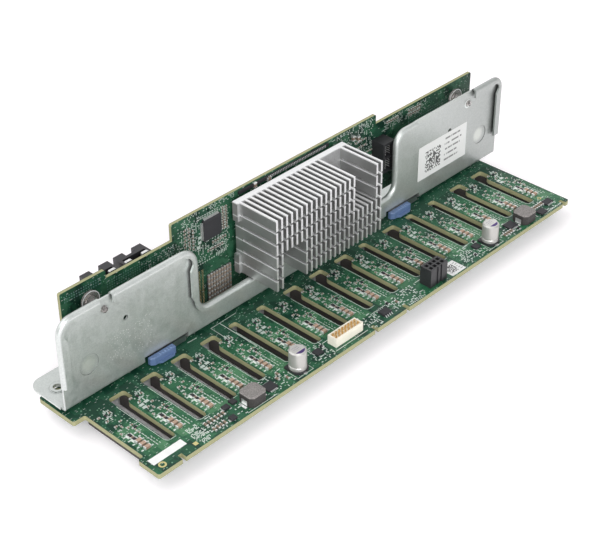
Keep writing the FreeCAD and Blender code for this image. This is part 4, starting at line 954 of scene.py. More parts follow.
@dataclass(frozen=True)
class GalvanisedSheet(Finish):
    """Zinc-coated sheet: broad soft spangle, fine bright specks, rolling lines, painted crease
    shade.

    The patch of specks has a low edge, a high edge and a softness along X and along Z.
    """

    label: str = "galvanised_sheet"
    pale: tuple = (0.75, 0.785, 0.765)
    dull: tuple = (0.53, 0.57, 0.55)
    bright: tuple = (1.0, 1.0, 1.0)
    scuffed: tuple = (0.8, 0.83, 0.82)
    polished: tuple = (0.84, 0.87, 0.80)
    # painted shade: the sheet darkens from x 170 to 290, towards its right end
    painted_shade_from: float = 170.0
    painted_shade_to: float = 290.0
    crease_shade_reach: float = 1.6
    speck_x: tuple = (22.0, 47.0, 6.0)
    speck_z: tuple = (9.0, 27.0, 5.0)
    rounds: tuple = ((12.1, 18.4), (267.6, 18.6))
    round_radius: float = 4.6

    def build(self, paint: Paint) -> bpy.types.Material:
        """Spangle is a Voronoi shade at two sizes; specks are rare Voronoi centres.

        The sheet is painted darker along X towards its right end, as painted shade. Polished
        rounds fade out with the square of the distance from their centres, and painted shade
        darkens creases where little open air lies near them.

        Args:
            paint: the material's nodes.

        Returns:
            The material.
        """
        spangle = paint.shades(0.42)
        small = paint.shades(1.9)
        clouds = paint.noise(0.06, detail=4.0)
        rolling = paint.noise(2.5, (0.05, 1.0, 1.0), detail=2.0)
        blend = spangle * 0.15 + small * 0.35 + clouds * 0.2 + rolling * 0.1 + 0.1
        x, _, z = paint.axes()
        # painted shade towards the right end: the colour falls to 0.68 of itself
        colour = paint.tinted(paint.mix(blend, self.dull, self.pale),
                              x.rise(self.painted_shade_to, self.painted_shade_from) * 0.32 + 0.68)
        patch = x.within(*self.speck_x) * z.within(*self.speck_z)
        speck = (paint.cells(0.55).rise(0.10, 0.04) * 0.35
                 + paint.cells(1.0).rise(0.29, 0.22) * patch
                 * paint.noise(0.35).rise(0.42, 0.5)).least(1.0)
        colour = paint.mix(speck, colour, self.bright)
        for centre_x, centre_z in self.rounds:
            along, up = x - centre_x, z - centre_z
            near = (along * along + up * up).rise(self.round_radius ** 2, 2.0)
            colour = paint.mix(near * 0.5, colour, self.polished)
        scuff = paint.noise(3.0, (0.06, 1.0, 1.4), detail=5.0).rise(0.63, 0.72)
        colour = paint.mix(scuff * 0.15, colour, self.scuffed)
        # painted shade in creases and under the hems, from the surface's ambient occlusion
        crease_shade = paint.node("ShaderNodeAmbientOcclusion", {"samples": 4},
                          {"Distance": self.crease_shade_reach * MM}, "AO")
        colour = paint.tinted(colour, crease_shade.rise(0.45, 0.92) * 0.75 + 0.25)
        return paint.finish(
            Base_Color=colour, Metallic=0.72,
            Roughness=(spangle - 0.5) * 0.12 + (clouds - 0.5) * 0.08 + 0.38 + scuff * 0.05,
            Normal=paint.relief(rolling + paint.noise(1.6, detail=4.0) * 0.8, 0.012))


@dataclass(frozen=True)
class SawnAluminium(Finish):
    """Extruded fins with dull sides and bright sawn tips and ends, partly painted shade and light.
    """

    label: str
    foot: float
    head: float
    rows: int = 6
    cut_width: float = 0.9
    # width of the painted highlight band below each cut
    lit_band: float = 0.55
    side: tuple = (0.40, 0.405, 0.40)
    tip: tuple = (0.84, 0.845, 0.85)

    def build(self, paint: Paint) -> bpy.types.Material:
        """A face is sawn or a tip where its normal has no part along X.

        A painted highlight runs along the lower edge of each cut, standing in for light seen
        through it: the point's height over the foot, wrapped at the pitch of the rows, lies just
        below the cut.

        Args:
            paint: the material's nodes.

        Returns:
            The material.
        """
        across = abs(paint.facing()[0])
        z = paint.axes()[2]
        pitch = (self.head - self.foot + self.cut_width) / self.rows
        below = pitch - self.cut_width
        # painted highlight under each cut
        edge = (z - self.foot).wrapped(pitch).within(below - self.lit_band, below)
        flank = across.rise(0.4, 0.6) * (1 - edge)
        drawn = paint.noise(4.0, (3.0, 3.0, 0.06))
        sawn = paint.noise(5.0, (0.2, 1.0, 4.0))
        stain = paint.noise(0.16, detail=4.0)
        # dark sides and bright tips: partly the drawn and sawn finish, partly painted shade
        # between the fins
        colour = paint.mix(flank, self.tip, self.side)
        colour = paint.tinted(colour, drawn * flank * 0.2 + sawn * 0.1 + stain * 0.14 + 0.8)
        return paint.finish(
            Base_Color=colour, Metallic=0.8 - edge * 0.5,
            Roughness=flank * 0.12 + (drawn - 0.5) * 0.16 + 0.3,
            Normal=paint.relief(drawn * flank + sawn * (1 - flank), 0.01))


@dataclass(frozen=True)
class Ceramic(Finish):
    """Fired ceramic or ferrite: a matt speckle of pale and dark grains."""

    label: str
    colour: tuple
    speckle: float
    grain_size: float = 3.0
    painted_side_shade: float = 0.8

    def build(self, paint: Paint) -> bpy.types.Material:
        """Grains are Voronoi shades; the sides get painted shade, darker than the top face.

        Args:
            paint: the material's nodes.

        Returns:
            The material.
        """
        grains = paint.shades(self.grain_size)
        cloud = paint.noise(0.6, detail=4.0)
        # painted shade: the sides are darker than the face that looks up
        up = paint.facing()[2].most(0.0).rise(0.2, 0.8)
        shade = (up * (1.0 - self.painted_side_shade) + self.painted_side_shade) * (
            (grains - 0.5) * self.speckle + cloud * 0.3 + 0.85)
        return paint.finish(Base_Color=paint.tinted(self.colour, shade),
                            Roughness=(cloud - 0.5) * 0.2 + 0.62,
                            Normal=paint.relief(grains, 0.02))


@dataclass(frozen=True)
class CanSkin(Finish):
    """A capacitor can: drawn aluminium with a printed segment and bars on its top.

    One bar, and the field of all the bars, have a low edge, a high edge and a softness along
    X and along Y.
    """

    label: str
    centre: tuple
    top: float
    radius: float
    chord: float = 1.5
    rim: float = 0.9
    bar_pitch: tuple = (0.8, 1.1)
    bar_x: tuple = (0.15, 0.5, 0.06)
    bar_y: tuple = (0.2, 0.75, 0.06)
    bars_x: tuple = (-2.1, 1.6, 0.05)
    bars_y: tuple = (-0.6, 2.4, 0.05)
    skin: tuple = (0.56, 0.555, 0.53)
    print_ink: tuple = (0.085, 0.05, 0.19)

    def build(self, paint: Paint) -> bpy.types.Material:
        """The segment is the top's part in front of a chord; bars stand behind it.

        Args:
            paint: the material's nodes.

        Returns:
            The material.
        """
        x, y, z = paint.axes()
        u, v = x - self.centre[0], y - self.centre[1]
        lid = z.rise(self.top - 0.1, self.top - 0.05)
        edge = self.radius - self.rim
        inner = (u * u + v * v).rise((edge + 0.05) ** 2, (edge - 0.05) ** 2)
        segment = v.rise(-self.chord + 0.05, -self.chord - 0.05)
        bars = (u.wrapped(self.bar_pitch[0]).within(*self.bar_x)
                * v.wrapped(self.bar_pitch[1]).within(*self.bar_y)
                * u.within(*self.bars_x) * v.within(*self.bars_y))
        lines = paint.noise(5.0, (1.0, 1.0, 0.1), detail=2.0)
        dull = paint.noise(0.5, detail=4.0)
        colour = paint.tinted(self.skin, lines * 0.1 + dull * 0.16 + lid * 0.14 + 0.84)
        ink = paint.tinted(self.print_ink, dull * 0.6 + 0.7)
        colour = paint.mix((segment + bars * 0.55).least(1.0) * inner * lid, colour, ink)
        return paint.finish(Base_Color=colour, Metallic=0.55,
                            Roughness=(lines - 0.5) * 0.14 + dull * 0.12 + 0.3,
                            Normal=paint.relief(lines, 0.008))


@dataclass(frozen=True)
class LabelPaper(Finish):
    """White label stock with a generic field of blocks and a few plain bars."""

    label: str
    lie: Lie
    field_low: tuple
    field_high: tuple
    block_size: float
    bars_low: tuple
    bars_high: tuple
    bar_pitch: float
    dash: float = 0.55
    paper: tuple = (0.80, 0.81, 0.80)
    ink: tuple = (0.035, 0.033, 0.035)

    @staticmethod
    def zone(u: Value, v: Value, low: tuple, high: tuple) -> Value:
        """1 inside a rectangle and 0 outside."""
        return u.within(low[0], high[0], 0.04) * v.within(low[1], high[1], 0.04)

    def build(self, paint: Paint) -> bpy.types.Material:
        """Blocks are random per whole-number cell; each bar is one line cut into dashes.

        Args:
            paint: the material's nodes.

        Returns:
            The material.
        """
        u, v, _ = self.lie.across(*paint.axes())
        cells = (((place - low) / self.block_size).floored()
                 for place, low in zip((u, v), self.field_low))
        blocks = (paint.chance(*cells, 4.0).rise(0.42, 0.43)
                  * self.zone(u, v, self.field_low, self.field_high))
        height = v - self.bars_low[1]
        number = (height / self.bar_pitch).floored()
        reach = paint.chance(number, 2.0) * 0.4 + 0.6
        width = self.bars_high[0] - self.bars_low[0]
        inside = ((u - self.bars_low[0]) / width).rise(reach, reach * 0.98)
        dashes = paint.chance((u / self.dash).floored(), number).rise(0.16, 0.2)
        inked = height.wrapped(self.bar_pitch).within(
            self.bar_pitch * 0.3, self.bar_pitch * 0.62, 0.06)
        bars = inked * inside * dashes * self.zone(u, v, self.bars_low, self.bars_high)
        fibre = paint.noise(4.0, detail=5.0, rough=0.7)
        curl = paint.noise(0.15)
        colour = paint.tinted(self.paper, fibre * 0.08 + curl * 0.08 + 0.92)
        ink = (blocks + bars * 0.8).least(1.0)
        colour = paint.mix(ink * 0.92, colour, self.ink)
        return paint.finish(Base_Color=colour, Roughness=fibre * 0.1 + 0.5 - ink * 0.12,
                            Normal=paint.relief(fibre + ink * 0.6, 0.008))


# ------------------------------------------------------------------ stage

@dataclass
class Studio:
    """A pale floor, soft light and the camera, none of it part of the object.

    Each lamp is a name, a place in metres, a size in metres and a power in watts.
    """

    azimuth: float = -46.148
    elevation: float = 35.238
    roll: float = -0.401
    lens: float = 87.77
    sensor: float = 36.0
    distance_m: float = 0.67699
    target: tuple = (134.865, 52.917, 0.0)
    floor_size_m: float = 6.0
    floor_colour: tuple = (0.915, 0.885, 0.905)
    glow: float = 0.24
    far_glow: float = 0.6
    far_m2: tuple = (0.1, 1.6)
    # painted shadow: under the board the floor keeps almost none of its own light
    painted_shadow_glow: float = 0.03
    painted_shadow_inset: float = 14.0
    painted_shadow_soft: float = 6.0
    sky_colour: tuple = (1.0, 0.99, 1.0)
    sky_level: float = 0.52
    sky_seen: float = 0.48
    sky_mirrored: float = 0.14
    lamps: tuple = (("key", (-0.9, 0.7, 1.6), 2.0, 16.0), ("rim", (1.3, 1.0, 1.5), 1.2, 3.5),
                    ("fill", (-1.0, -1.5, 0.9), 1.6, 30.0))

    @staticmethod
    def ray(paint: Paint, kind: str) -> Value:
        """1 for one kind of ray and 0 for the others."""
        return paint.node("ShaderNodeLightPath", output=f"Is {kind} Ray")

    def backdrop(self, paint: Paint, lit: Value) -> Value:
        """Add light of its own to the floor, for the camera and for reflections only.

        It grows with x^2 + y^2, in square metres, so that the far floor stays white, and
        is almost nothing well under the board, which paints a shadow on the floor there.

        Args:
            paint: the floor's nodes.
            lit: the floor's plain surface.

        Returns:
            The floor's surface.
        """
        path = self.ray(paint, "Camera").most(self.ray(paint, "Glossy")).most(
            self.ray(paint, "Transmission"))
        x, y, _ = paint.axes()
        (left, front, _), (right, back, _) = node_box("backplane_board")
        # painted shadow under the board
        painted_shadow = (x.within(left + self.painted_shadow_inset, right, self.painted_shadow_soft)
                   * y.within(front + self.painted_shadow_inset, back, self.painted_shadow_soft))
        x, y = x / 1000.0, y / 1000.0
        colour = paint.mix((x * x + y * y).rise(*self.far_m2), (self.glow,) * 3,
                           (self.far_glow,) * 3)
        colour = paint.mix(painted_shadow, colour, (self.painted_shadow_glow,) * 3)
        own = paint.node("ShaderNodeEmission", None, {0: colour, "Strength": 1.0})
        both = paint.node("ShaderNodeAddShader", None, {0: lit, 1: own})
        return paint.node("ShaderNodeMixShader", None, {0: path, 1: lit, 2: both})

    def floor(self) -> None:
        """A flat floor through the object's lowest point."""
        half, low = self.floor_size_m / 2, CAD_BOX_M[0][2]
        mesh = bpy.data.meshes.new("floor")
        mesh.from_pydata([(-half, -half, low), (half, -half, low), (half, half, low),
                          (-half, half, low)], [], [(0, 1, 2, 3)])
        paint = Paint("floor_paper")
        lit = paint.node("ShaderNodeBsdfDiffuse", None, {0: self.floor_colour})
        paint.node("ShaderNodeOutputMaterial", None, {0: self.backdrop(paint, lit)}, None)
        mesh.materials.append(paint.material)
        floor = bpy.data.objects.new("floor", mesh)
        bpy.context.scene.collection.objects.link(floor)

    def sky(self) -> None:
        """A pale world: plain level for the object, white where it is seen or reflected."""
        world = bpy.data.worlds.new("studio")
        world.use_nodes = True
        paint = Paint("sky_nodes")
        bpy.data.materials.remove(paint.material)
        paint.tree = world.node_tree
        paint.tree.nodes.clear()
        strength = (self.ray(paint, "Camera") * self.sky_seen
                    + self.ray(paint, "Glossy") * self.sky_mirrored + self.sky_level)
        light = paint.node("ShaderNodeBackground", None,
                           {0: self.sky_colour, "Strength": strength})
        paint.node("ShaderNodeOutputWorld", None, {0: light}, None)
        bpy.context.scene.world = world

    @staticmethod
    def lamp(name: str, place_m: tuple, size_m: float, power: float) -> None:
        """Hang a square area lamp that looks at the object.

        Args:
            name: its name.
            place_m: where it hangs.
            size_m: its side.
            power: its power in watts.
        """
        light = bpy.data.lights.new(name, "AREA")
        light.shape, light.size, light.energy = "SQUARE", size_m, power
        lamp = bpy.data.objects.new(name, light)
        lamp.location = place_m
        lamp.rotation_euler = (-Vector(place_m)).to_track_quat("-Z", "Y").to_euler()
        bpy.context.scene.collection.objects.link(lamp)

    def camera(self) -> None:
        """The camera, aimed at its target and rolled a little."""
        a, e, r = (math.radians(v) for v in (self.azimuth, self.elevation, self.roll))
        back = Vector((math.sin(a) * math.cos(e), -math.cos(a) * math.cos(e), math.sin(e)))
        place = Vector(self.target) * MM + DATUM_M + back * self.distance_m
        data = bpy.data.cameras.new("camera")
        data.lens, data.sensor_width = self.lens, self.sensor
        data.clip_start, data.clip_end = 0.01, 20.0
        camera = bpy.data.objects.new("camera", data)
        aim = back.to_track_quat("Z", "Y").to_matrix().to_4x4()
        camera.matrix_world = Matrix.Translation(place) @ aim @ Matrix.Rotation(r, 4, "Z")
        bpy.context.scene.collection.objects.link(camera)
        bpy.context.scene.camera = camera

    def build(self) -> None:
        """Set up the floor, the light and the camera."""
        self.floor()
        self.sky()
        for lamp in self.lamps:
            self.lamp(*lamp)
        self.camera()
        bpy.context.scene.view_settings.view_transform = "Standard"
        LOG.info("studio: floor, sky, three lamps and the camera")


# ------------------------------------------------------------------ shared finishes

TIN = Metal("tin", (0.80, 0.81, 0.80), rough=0.34, metallic=0.75)
PAD = Metal("solder_pad", (0.66, 0.73, 0.68), rough=0.42, metallic=0.45)
GOLD = Metal("gold_plate", (0.98, 0.74, 0.42), rough=0.24)
COPPER = Metal("bare_copper", (0.70, 0.62, 0.30), rough=0.4)
VIA = Metal("via_copper", (0.15, 0.25, 0.24), rough=0.4, metallic=0.3)
ZINC = Metal("zinc_plate", (0.72, 0.73, 0.72), rough=0.36)
LEVER = Metal("lever_sheet", (0.42, 0.43, 0.45), rough=0.36)
TAN = Ceramic("tan_ceramic", (0.46, 0.32, 0.235), speckle=0.22)
BROWN = Ceramic("brown_ceramic", (0.26, 0.20, 0.15), speckle=0.22)
PALE_TAN = Ceramic("pale_tan_ceramic", (0.37, 0.305, 0.245), speckle=0.2)
FERRITE = Ceramic("ferrite", (0.24, 0.225, 0.215), speckle=0.7, grain_size=4.0,
                  painted_side_shade=0.16)
DARK = Ceramic("dark_glaze", (0.022, 0.021, 0.024), speckle=0.5)
EPOXY = Plastic("chip_epoxy", (0.026, 0.026, 0.030), shine=0.42)
BLACK = Plastic("black_nylon", (0.026, 0.026, 0.029), shine=0.62)
RECEPTACLE = Plastic("receptacle_nylon", (0.055, 0.048, 0.044), shine=0.4)
CREAM = Plastic("cream_nylon", (0.90, 0.86, 0.74), shine=0.42)
PIN_WHITE = Plastic("white_nylon", (0.74, 0.74, 0.72), shine=0.5)
CLEAR = Plastic("clear_nylon", (0.84, 0.80, 0.78), shine=0.88, see_through=0.85)
RUBBER = Plastic("thermal_rubber", (0.35, 0.36, 0.38), shine=0.2)
BLUE = Plastic("blue_plastic", (0.115, 0.185, 0.345), shine=0.6, coat=0.2)
# painted light: the cap's blue made lighter on the ridges along its top
BLUE_RIDGES_LIT = Plastic("blue_ridges_lit", (0.19, 0.29, 0.50), shine=0.66, coat=0.2)
SILK = Plastic("silk_ink", (0.70, 0.76, 0.70), shine=0.35, grain=0.01)
WHITE = Plastic("label_stock", (0.88, 0.88, 0.87), shine=0.4, grain=0.008)
PALE_RING = Plastic("pale_ring", (0.80, 0.83, 0.82), shine=0.45, grain=0.01)
# painted highlight: a bright ring for the glint on each clear standoff disc
RIM_HIGHLIGHT = Plastic("painted_rim_highlight", (0.88, 0.90, 0.90), shine=0.8, grain=0.01)


# ------------------------------------------------------------------ pieces
#
# The classes give their parts as tuples. A chip is its length, width, height and end cap. A
# land is its width and depth, and its height where that isn't the usual one. A lead is its
# reach, rise and width. A sheet is its width, depth, corner radius and the place of its
# middle, and a height likewise. An area of scattered lands is its low corner, its high corner,
# their number and the seed of the draw. A path is its points, and a line is its start, pitch
# and count.

@dataclass
class Strips:
    """The parts in rows on the sixteen strips between the air slots.

    Places are x from a strip's left edge and y from the board's front. A row of ticks is a
    land's width and depth, an x and the ys, and an area of dots starts with the land and ends
    with the lattice's pitch.
    """

    left: float = 3.45
    pitch: float = 17.2
    count: int = 16
    capacitor: tuple = (3.2, 1.7, 1.3, 0.5)
    capacitor_x: float = 4.0
    capacitor_rows: tuple = (15.2, 17.8, 20.4)
    resistor: tuple = (2.1, 1.8, 0.55, 0.34)
    resistor_frame: tuple = (3.2, 2.3, 0.05)
    resistor_x: float = 3.7
    resistor_rows: tuple = (22.4, 25.6)
    thin_part: tuple = (2.0, 0.8, 0.6, 0.45)
    small_land: tuple = (1.2, 0.75)
    small_lands: tuple = (
        (1.5, 15.2), (1.5, 17.8), (1.5, 20.4), (1.5, 23.2), (1.5, 26.2), (6.5, 15.0),
        (6.5, 17.8), (6.5, 20.6), (6.5, 22.8), (6.5, 25.4), (4.3, 40.0), (6.1, 40.4),
        (5.7, 43.6))
    tick_rows: tuple = ((0.36, 1.35, 8.2, line(14.2, 1.7, 6)), (0.3, 0.8, 9.6, line(14.0, 1.7, 4)),
                        (1.5, 1.0, 3.0, 31.0))
    wide_land: tuple = (2.2, 1.5)
    wide_lands: tuple = ((2.6, 36.6), (2.6, 34.6), (5.6, 37.0))
    dot_areas: tuple = (
        ((0.5, 0.5), (1.2, 27.2), (7.2, 33.8), 13, 3, 0.8),
        ((0.5, 0.85), (2.4, 38.4), (8.4, 44.6), 16, 8, 0.8),
        ((0.65, 0.45), (7.4, 23.4), (10.8, 33.0), 12, 5, 0.9))
    transistor: tuple = (1.5, 0.9, 0.75)
    transistor_lead: tuple = (0.75, 0.35, 0.3)
    lead_places: tuple = ((0.72, -0.22, 0), (0.72, 0.22, 0), (-0.72, -0.22, 0), (-0.72, 0.22, 0))
    transistor_front: tuple = (8.6, 28.0)
    transistor_back: tuple = (4.9, 41.6)
    chip: tuple = (1.5, 0.75, 0.55, 0.35)
    brown_chips: tuple = ((8.6, 29.9), (7.2, 42.2), (3.1, 38.6))
    grey_upright: tuple = ((7.8, 24.4), (7.8, 26.4), (5.0, 31.8), (1.9, 28.4))
    grey_lying: tuple = ((6.4, 29.6), (3.4, 33.6), (6.9, 35.0), (1.9, 42.6))
    slot_left: float = 15.75
    slot_front: float = 12.6
    slot_corner: float = 2.0
    print_back: float = 43.3
    print_bend: float = 16.6
    print_right: float = 4.3
    print_gap: float = 0.45
    print_width: float = 0.2

    def spots(self, offsets: np.ndarray, strips: slice = slice(None)) -> np.ndarray:
        """The same places on every strip.

        Args:
            offsets: rows of x from the strip's left edge and y from the board's front.
            strips: which strips, as a slice of their order from the left.

        Returns:
            One row of x, y, 0 for each strip and offset.
        """
        offsets = np.atleast_2d(np.asarray(offsets, float))
        lefts = line(self.left, self.pitch, self.count)[strips]
        places = np.zeros((len(lefts), len(offsets), 3))
        places[:, :, :2] = offsets[:, :2]
        places[:, :, 0] += lefts[:, None]
        return places.reshape(-1, 3)

    def capacitors(self) -> None:
        """Three tan capacitors on each strip, in place of the plain solids."""
        rows = self.spots(grid(self.capacitor_x, self.capacitor_rows))
        piece = make_piece("strip_capacitors", two_ended(*self.capacitor).copies(rows),
                           [TAN, TIN])
        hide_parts("chip_capacitors")

    def lands(self) -> None:
        """Bare lands and ticks beside the parts, wide ones on every second strip, and dots."""
        wide = self.spots(self.wide_lands, slice(1, None, 2))
        shells = [land(*self.small_land).copies(self.spots(self.small_lands)),
                  land(*self.wide_land).copies(wide)]
        shells += [land(width, depth).copies(self.spots(grid(x, rows)))
                   for width, depth, x, rows in self.tick_rows]
        shells += [land(*size).copies(self.spots(scattered(*area)))
                   for size, *area in self.dot_areas]
        make_piece("strip_lands", joined(*shells), [PAD])

    def squares(self) -> None:
        """Two dark square resistors in pale frames, with a thin part between them."""
        places = self.spots(grid(self.resistor_x, self.resistor_rows))
        shell = joined(two_ended(*self.resistor).copies(places),
                       land(*self.resistor_frame).coated(2).copies(places))
        make_piece("strip_resistors", shell, [DARK, TIN, SILK])
        between = self.spots([(self.resistor_x, sum(self.resistor_rows) / 2)])
        make_piece("strip_thin_parts", two_ended(*self.thin_part).copies(between),
                   [BROWN, TIN])

    def clusters(self) -> None:
        """Two transistors on each strip, and small capacitors round them."""
        lead = gull_wing(*self.transistor_lead).coated(1)
        part = joined(package(*self.transistor),
                      lead.copies(self.lead_places, (0.0, 0.0, np.pi, np.pi)))
        shell = joined(part.copies(self.spots(self.transistor_front)),
                       part.copies(self.spots(self.transistor_back), UPRIGHT))
        make_piece("strip_transistors", shell, [EPOXY, TIN])
        chip = two_ended(*self.chip)
        make_piece("strip_small_capacitors", chip.copies(self.spots(self.brown_chips)),
                   [BROWN, TIN])
        shell = joined(chip.copies(self.spots(self.grey_upright), UPRIGHT),
                       chip.copies(self.spots(self.grey_lying)))
        make_piece("strip_grey_capacitors", shell, [PALE_TAN, TIN])

    def outlines(self) -> None:
        """A pale line of print along each slot's left edge and round its front end.

        The corner is the arc centre + r (cos a, sin a) from a half turn to three quarters.
        """
        angle = np.linspace(np.pi, 1.5 * np.pi, 7)
        centre = (self.slot_corner - self.print_gap,
                  self.slot_front + self.slot_corner - self.print_gap)
        corner = self.slot_corner * arc(angle) + centre
        path = np.vstack([(-self.print_gap, self.print_back),
                          (-self.print_gap, self.print_bend), corner,
                          (self.print_right, self.slot_front - self.print_gap)])
        places = grid(line(self.slot_left, self.pitch, self.count - 1), 0.0)
        make_piece("slot_outlines", stroke(path, self.print_width, PRINT_HEIGHT).copies(places),
                   [SILK])

    def build(self) -> None:
        """Make every piece of the strips."""
        self.capacitors()
        self.lands()
        self.squares()
        self.clusters()
        self.outlines()


@dataclass
class FrontEdge:
    """The parts and print along the main board's front edge.

    A row is a first x, a pitch, a count and a y. A fine package is its low corner, width and
    depth. A copper ring is its radius, its width and its place.
    """

    capacitor: tuple = (2.6, 1.0, 0.8, 0.55)
    capacitor_rows: tuple = ((32.6, 1.95, 6, 8.0), (33.1, 1.95, 4, 3.4), (225.9, 1.8, 4, 3.6),
                             (254.2, 1.7, 5, 7.6))
    loose_capacitors: tuple = ((75.6, 9.6, 0), (76.9, 4.9, 0), (73.4, 7.4, 0), (149.3, 6.4, 0))
    diode: tuple = (3.0, 2.6, 1.3)
    diodes: tuple = ((45.4, 9.7, 0), (42.9, 2.9, 0))
    diode_tab: tuple = (0.8, 1.6, 0.2)
    tab_out: float = 1.7
    resistor: tuple = (2.3, 1.2, 0.7, 0.4)
    resistors: tuple = ((67.2, 6.1, 0), (235.4, 2.6, 0), (102.2, 8.9, 0), (145.4, 8.6, 0),
                        (203.2, 3.6, 0), (211.4, 11.2, 0))
    land_areas: tuple = (
        ((94.0, 1.6), (103.4, 11.6), 46, 11), ((127.0, 1.4), (135.4, 10.6), 30, 12),
        ((143.4, 2.4), (152.0, 10.8), 26, 13), ((196.0, 1.4), (211.6, 11.6), 84, 14),
        ((62.4, 1.2), (79.6, 11.4), 34, 15), ((222.6, 1.2), (237.6, 10.6), 32, 16),
        ((250.4, 1.6), (268.6, 10.8), 44, 17), ((30.6, 1.6), (51.0, 11.2), 36, 18),
        ((154.0, 2.0), (165.6, 10.6), 44, 19))
    land_step: float = 0.95
    land_shapes: tuple = ((0.9, 0.4), (0.4, 1.1), (0.6, 0.6), (1.3, 0.5))
    land_margin: float = 0.8
    covers: tuple = ("capacitor_base_left", "capacitor_base_right", "inductor_left",
                     "inductor_right", "power_connector", "signal_header", "so8_chip")
    tick: tuple = (0.5, 0.9)
    tick_rows: tuple = ((255.0, 1.25, 11, 1.2), (152.0, 1.15, 10, 0.9))
    so8_lead: tuple = (1.1, 0.55, 0.42)
    so8_pitch: float = 1.27
    fine_lead: tuple = (0.8, 0.3, 0.3)
    fine_pitch: float = 0.65
    fine_margin: float = 1.0
    fine_packages: tuple = ((231.5, 4.5, 6.0, 5.0), (261.2, 4.8, 5.5, 3.5),
                            (64.6, 3.7, 5.4, 4.8))
    bar: tuple = (17.6, 3.9, 0.2, 11.05, 7.4)
    code: tuple = (9.8, 8.6, 0.3, 187.4, 5.0)
    code_paper: Finish = LabelPaper("board_label", Lie.FLAT, (183.6, 2.2), (189.2, 7.6), 0.56,
                                    (189.9, 1.6), (192.2, 8.2), 1.3)
    copper_rings: tuple = ((1.35, 0.8, 5.0, 3.5), (0.8, 0.4, 264.6, 11.6))
    copper_pad: tuple = (1.9, 1.9, 0.04)
    copper_pad_place: tuple = (22.3, 3.0)
    corner_path: tuple = ((-4.698, 1.458), (-4.698, -4.698), (4.698, -4.698), (4.698, 1.458))
    corner_width: float = 0.3
    corner_places: tuple = ((84.4, 6.1, 0), (217.0, 6.1, 0))
    print_width: float = 0.28
    print_paths: tuple = (
        ((94.2, 53.6), (78.5, 53.3), (78.2, 41.6)), ((83.7, 53.4), (83.5, 29.7)),
        ((49.7, 0.9), (66.6, 0.9)), ((64.4, 53.3), (69.6, 53.0)), ((104.4, 2.3), (125.0, 2.3)),
        ((104.4, 10.3), (125.0, 10.3)), ((166.4, 10.2), (181.0, 10.2)),
        ((134.0, 1.4), (134.0, 8.8), (144.4, 8.8)))
    mark: tuple = (0.5, 0.42, 0.03)
    mark_step: float = 0.62
    mark_areas: tuple = (((24.0, 4.2), (30.4, 7.8), 52, 21), ((24.6, 1.0), (29.4, 2.8), 22, 22),
                         ((24.8, 9.2), (29.6, 11.8), 30, 23))

    @staticmethod
    def rows(table: tuple) -> np.ndarray:
        """The places of all the rows in a table."""
        return np.vstack([grid(line(*run), y) for *run, y in table])

    def chips(self) -> None:
        """Ladders of brown capacitors and loose ones, two diodes and six dark resistors."""
        places = np.vstack([self.rows(self.capacitor_rows), self.loose_capacitors])
        make_piece("front_capacitors", two_ended(*self.capacitor).copies(places, UPRIGHT),
                   [BROWN, TIN])
        tab = land(*self.diode_tab).coated(1)
        shell = joined(package(*self.diode), tab.moved(-self.tab_out), tab.moved(self.tab_out))
        make_piece("front_diodes", shell.copies(self.diodes), [EPOXY, TIN])
        turns = quarter_turns(len(self.resistors), 4)
        make_piece("front_resistors", two_ended(*self.resistor).copies(self.resistors, turns),
                   [DARK, TIN])

    def lands(self) -> None:
        """Dense small lands round the chips, and rows of ticks near the right end."""
        shapes = tuple(land(*size) for size in self.land_shapes)
        shell = joined(
            sprinkled(self.land_areas, self.land_step, shapes, self.covers, self.land_margin),
            land(*self.tick).copies(self.rows(self.tick_rows)))
        make_piece("front_lands", shell, [PAD])

    @staticmethod
    def both_sides(lead: Shell, columns: np.ndarray, front: float, back: float) -> Shell:
        """Leads that point forward from a package's front and back from its back."""
        return joined(lead.copies(grid(columns, front), -UPRIGHT),
                      lead.copies(grid(columns, back), UPRIGHT))

    def leads(self) -> None:
        """Leads of the eight-lead package and of the three largest small packages."""
        low, high = node_box("so8_chip")
        shells = [self.both_sides(gull_wing(*self.so8_lead),
                                  row(4, self.so8_pitch, (low[0] + high[0]) / 2),
                                  low[1], high[1])]
        for x, y, width, depth in self.fine_packages:
            count = int((width - self.fine_margin) / self.fine_pitch)
            columns = row(count, self.fine_pitch, x + width / 2)
            shells.append(self.both_sides(gull_wing(*self.fine_lead), columns, y, y + depth))
        make_piece("front_leads", joined(*shells), [TIN])

    def labels(self) -> None:
        """A plain white bar at the left end and a small block label by the power connector."""
        make_piece("label_bar", sheet(*self.bar), [WHITE])
        make_piece("label_code", sheet(*self.code), [self.code_paper])

    def marks(self) -> None:
        """Copper rings and a copper pad, corners round the cans, lines and marks of print."""
        copper = [ring(radius, width, PRINT_HEIGHT).moved(x, y)
                  for radius, width, x, y in self.copper_rings]
        pad = land(*self.copper_pad).moved(*self.copper_pad_place)
        make_piece("board_marks", joined(pad, *copper), [COPPER])
        corner = stroke(self.corner_path, self.corner_width, PRINT_HEIGHT)
        lines = [stroke(path, self.print_width, PRINT_HEIGHT) for path in self.print_paths]
        make_piece("board_print_lines", joined(corner.copies(self.corner_places), *lines),
                   [SILK])
        make_piece("board_print_marks",
                   sprinkled(self.mark_areas, self.mark_step, (land(*self.mark),)),
                   [SILK])

    def build(self) -> None:
        """Make every piece of the front edge."""
        self.chips()
        self.lands()
        self.leads()
        self.labels()
        self.marks()


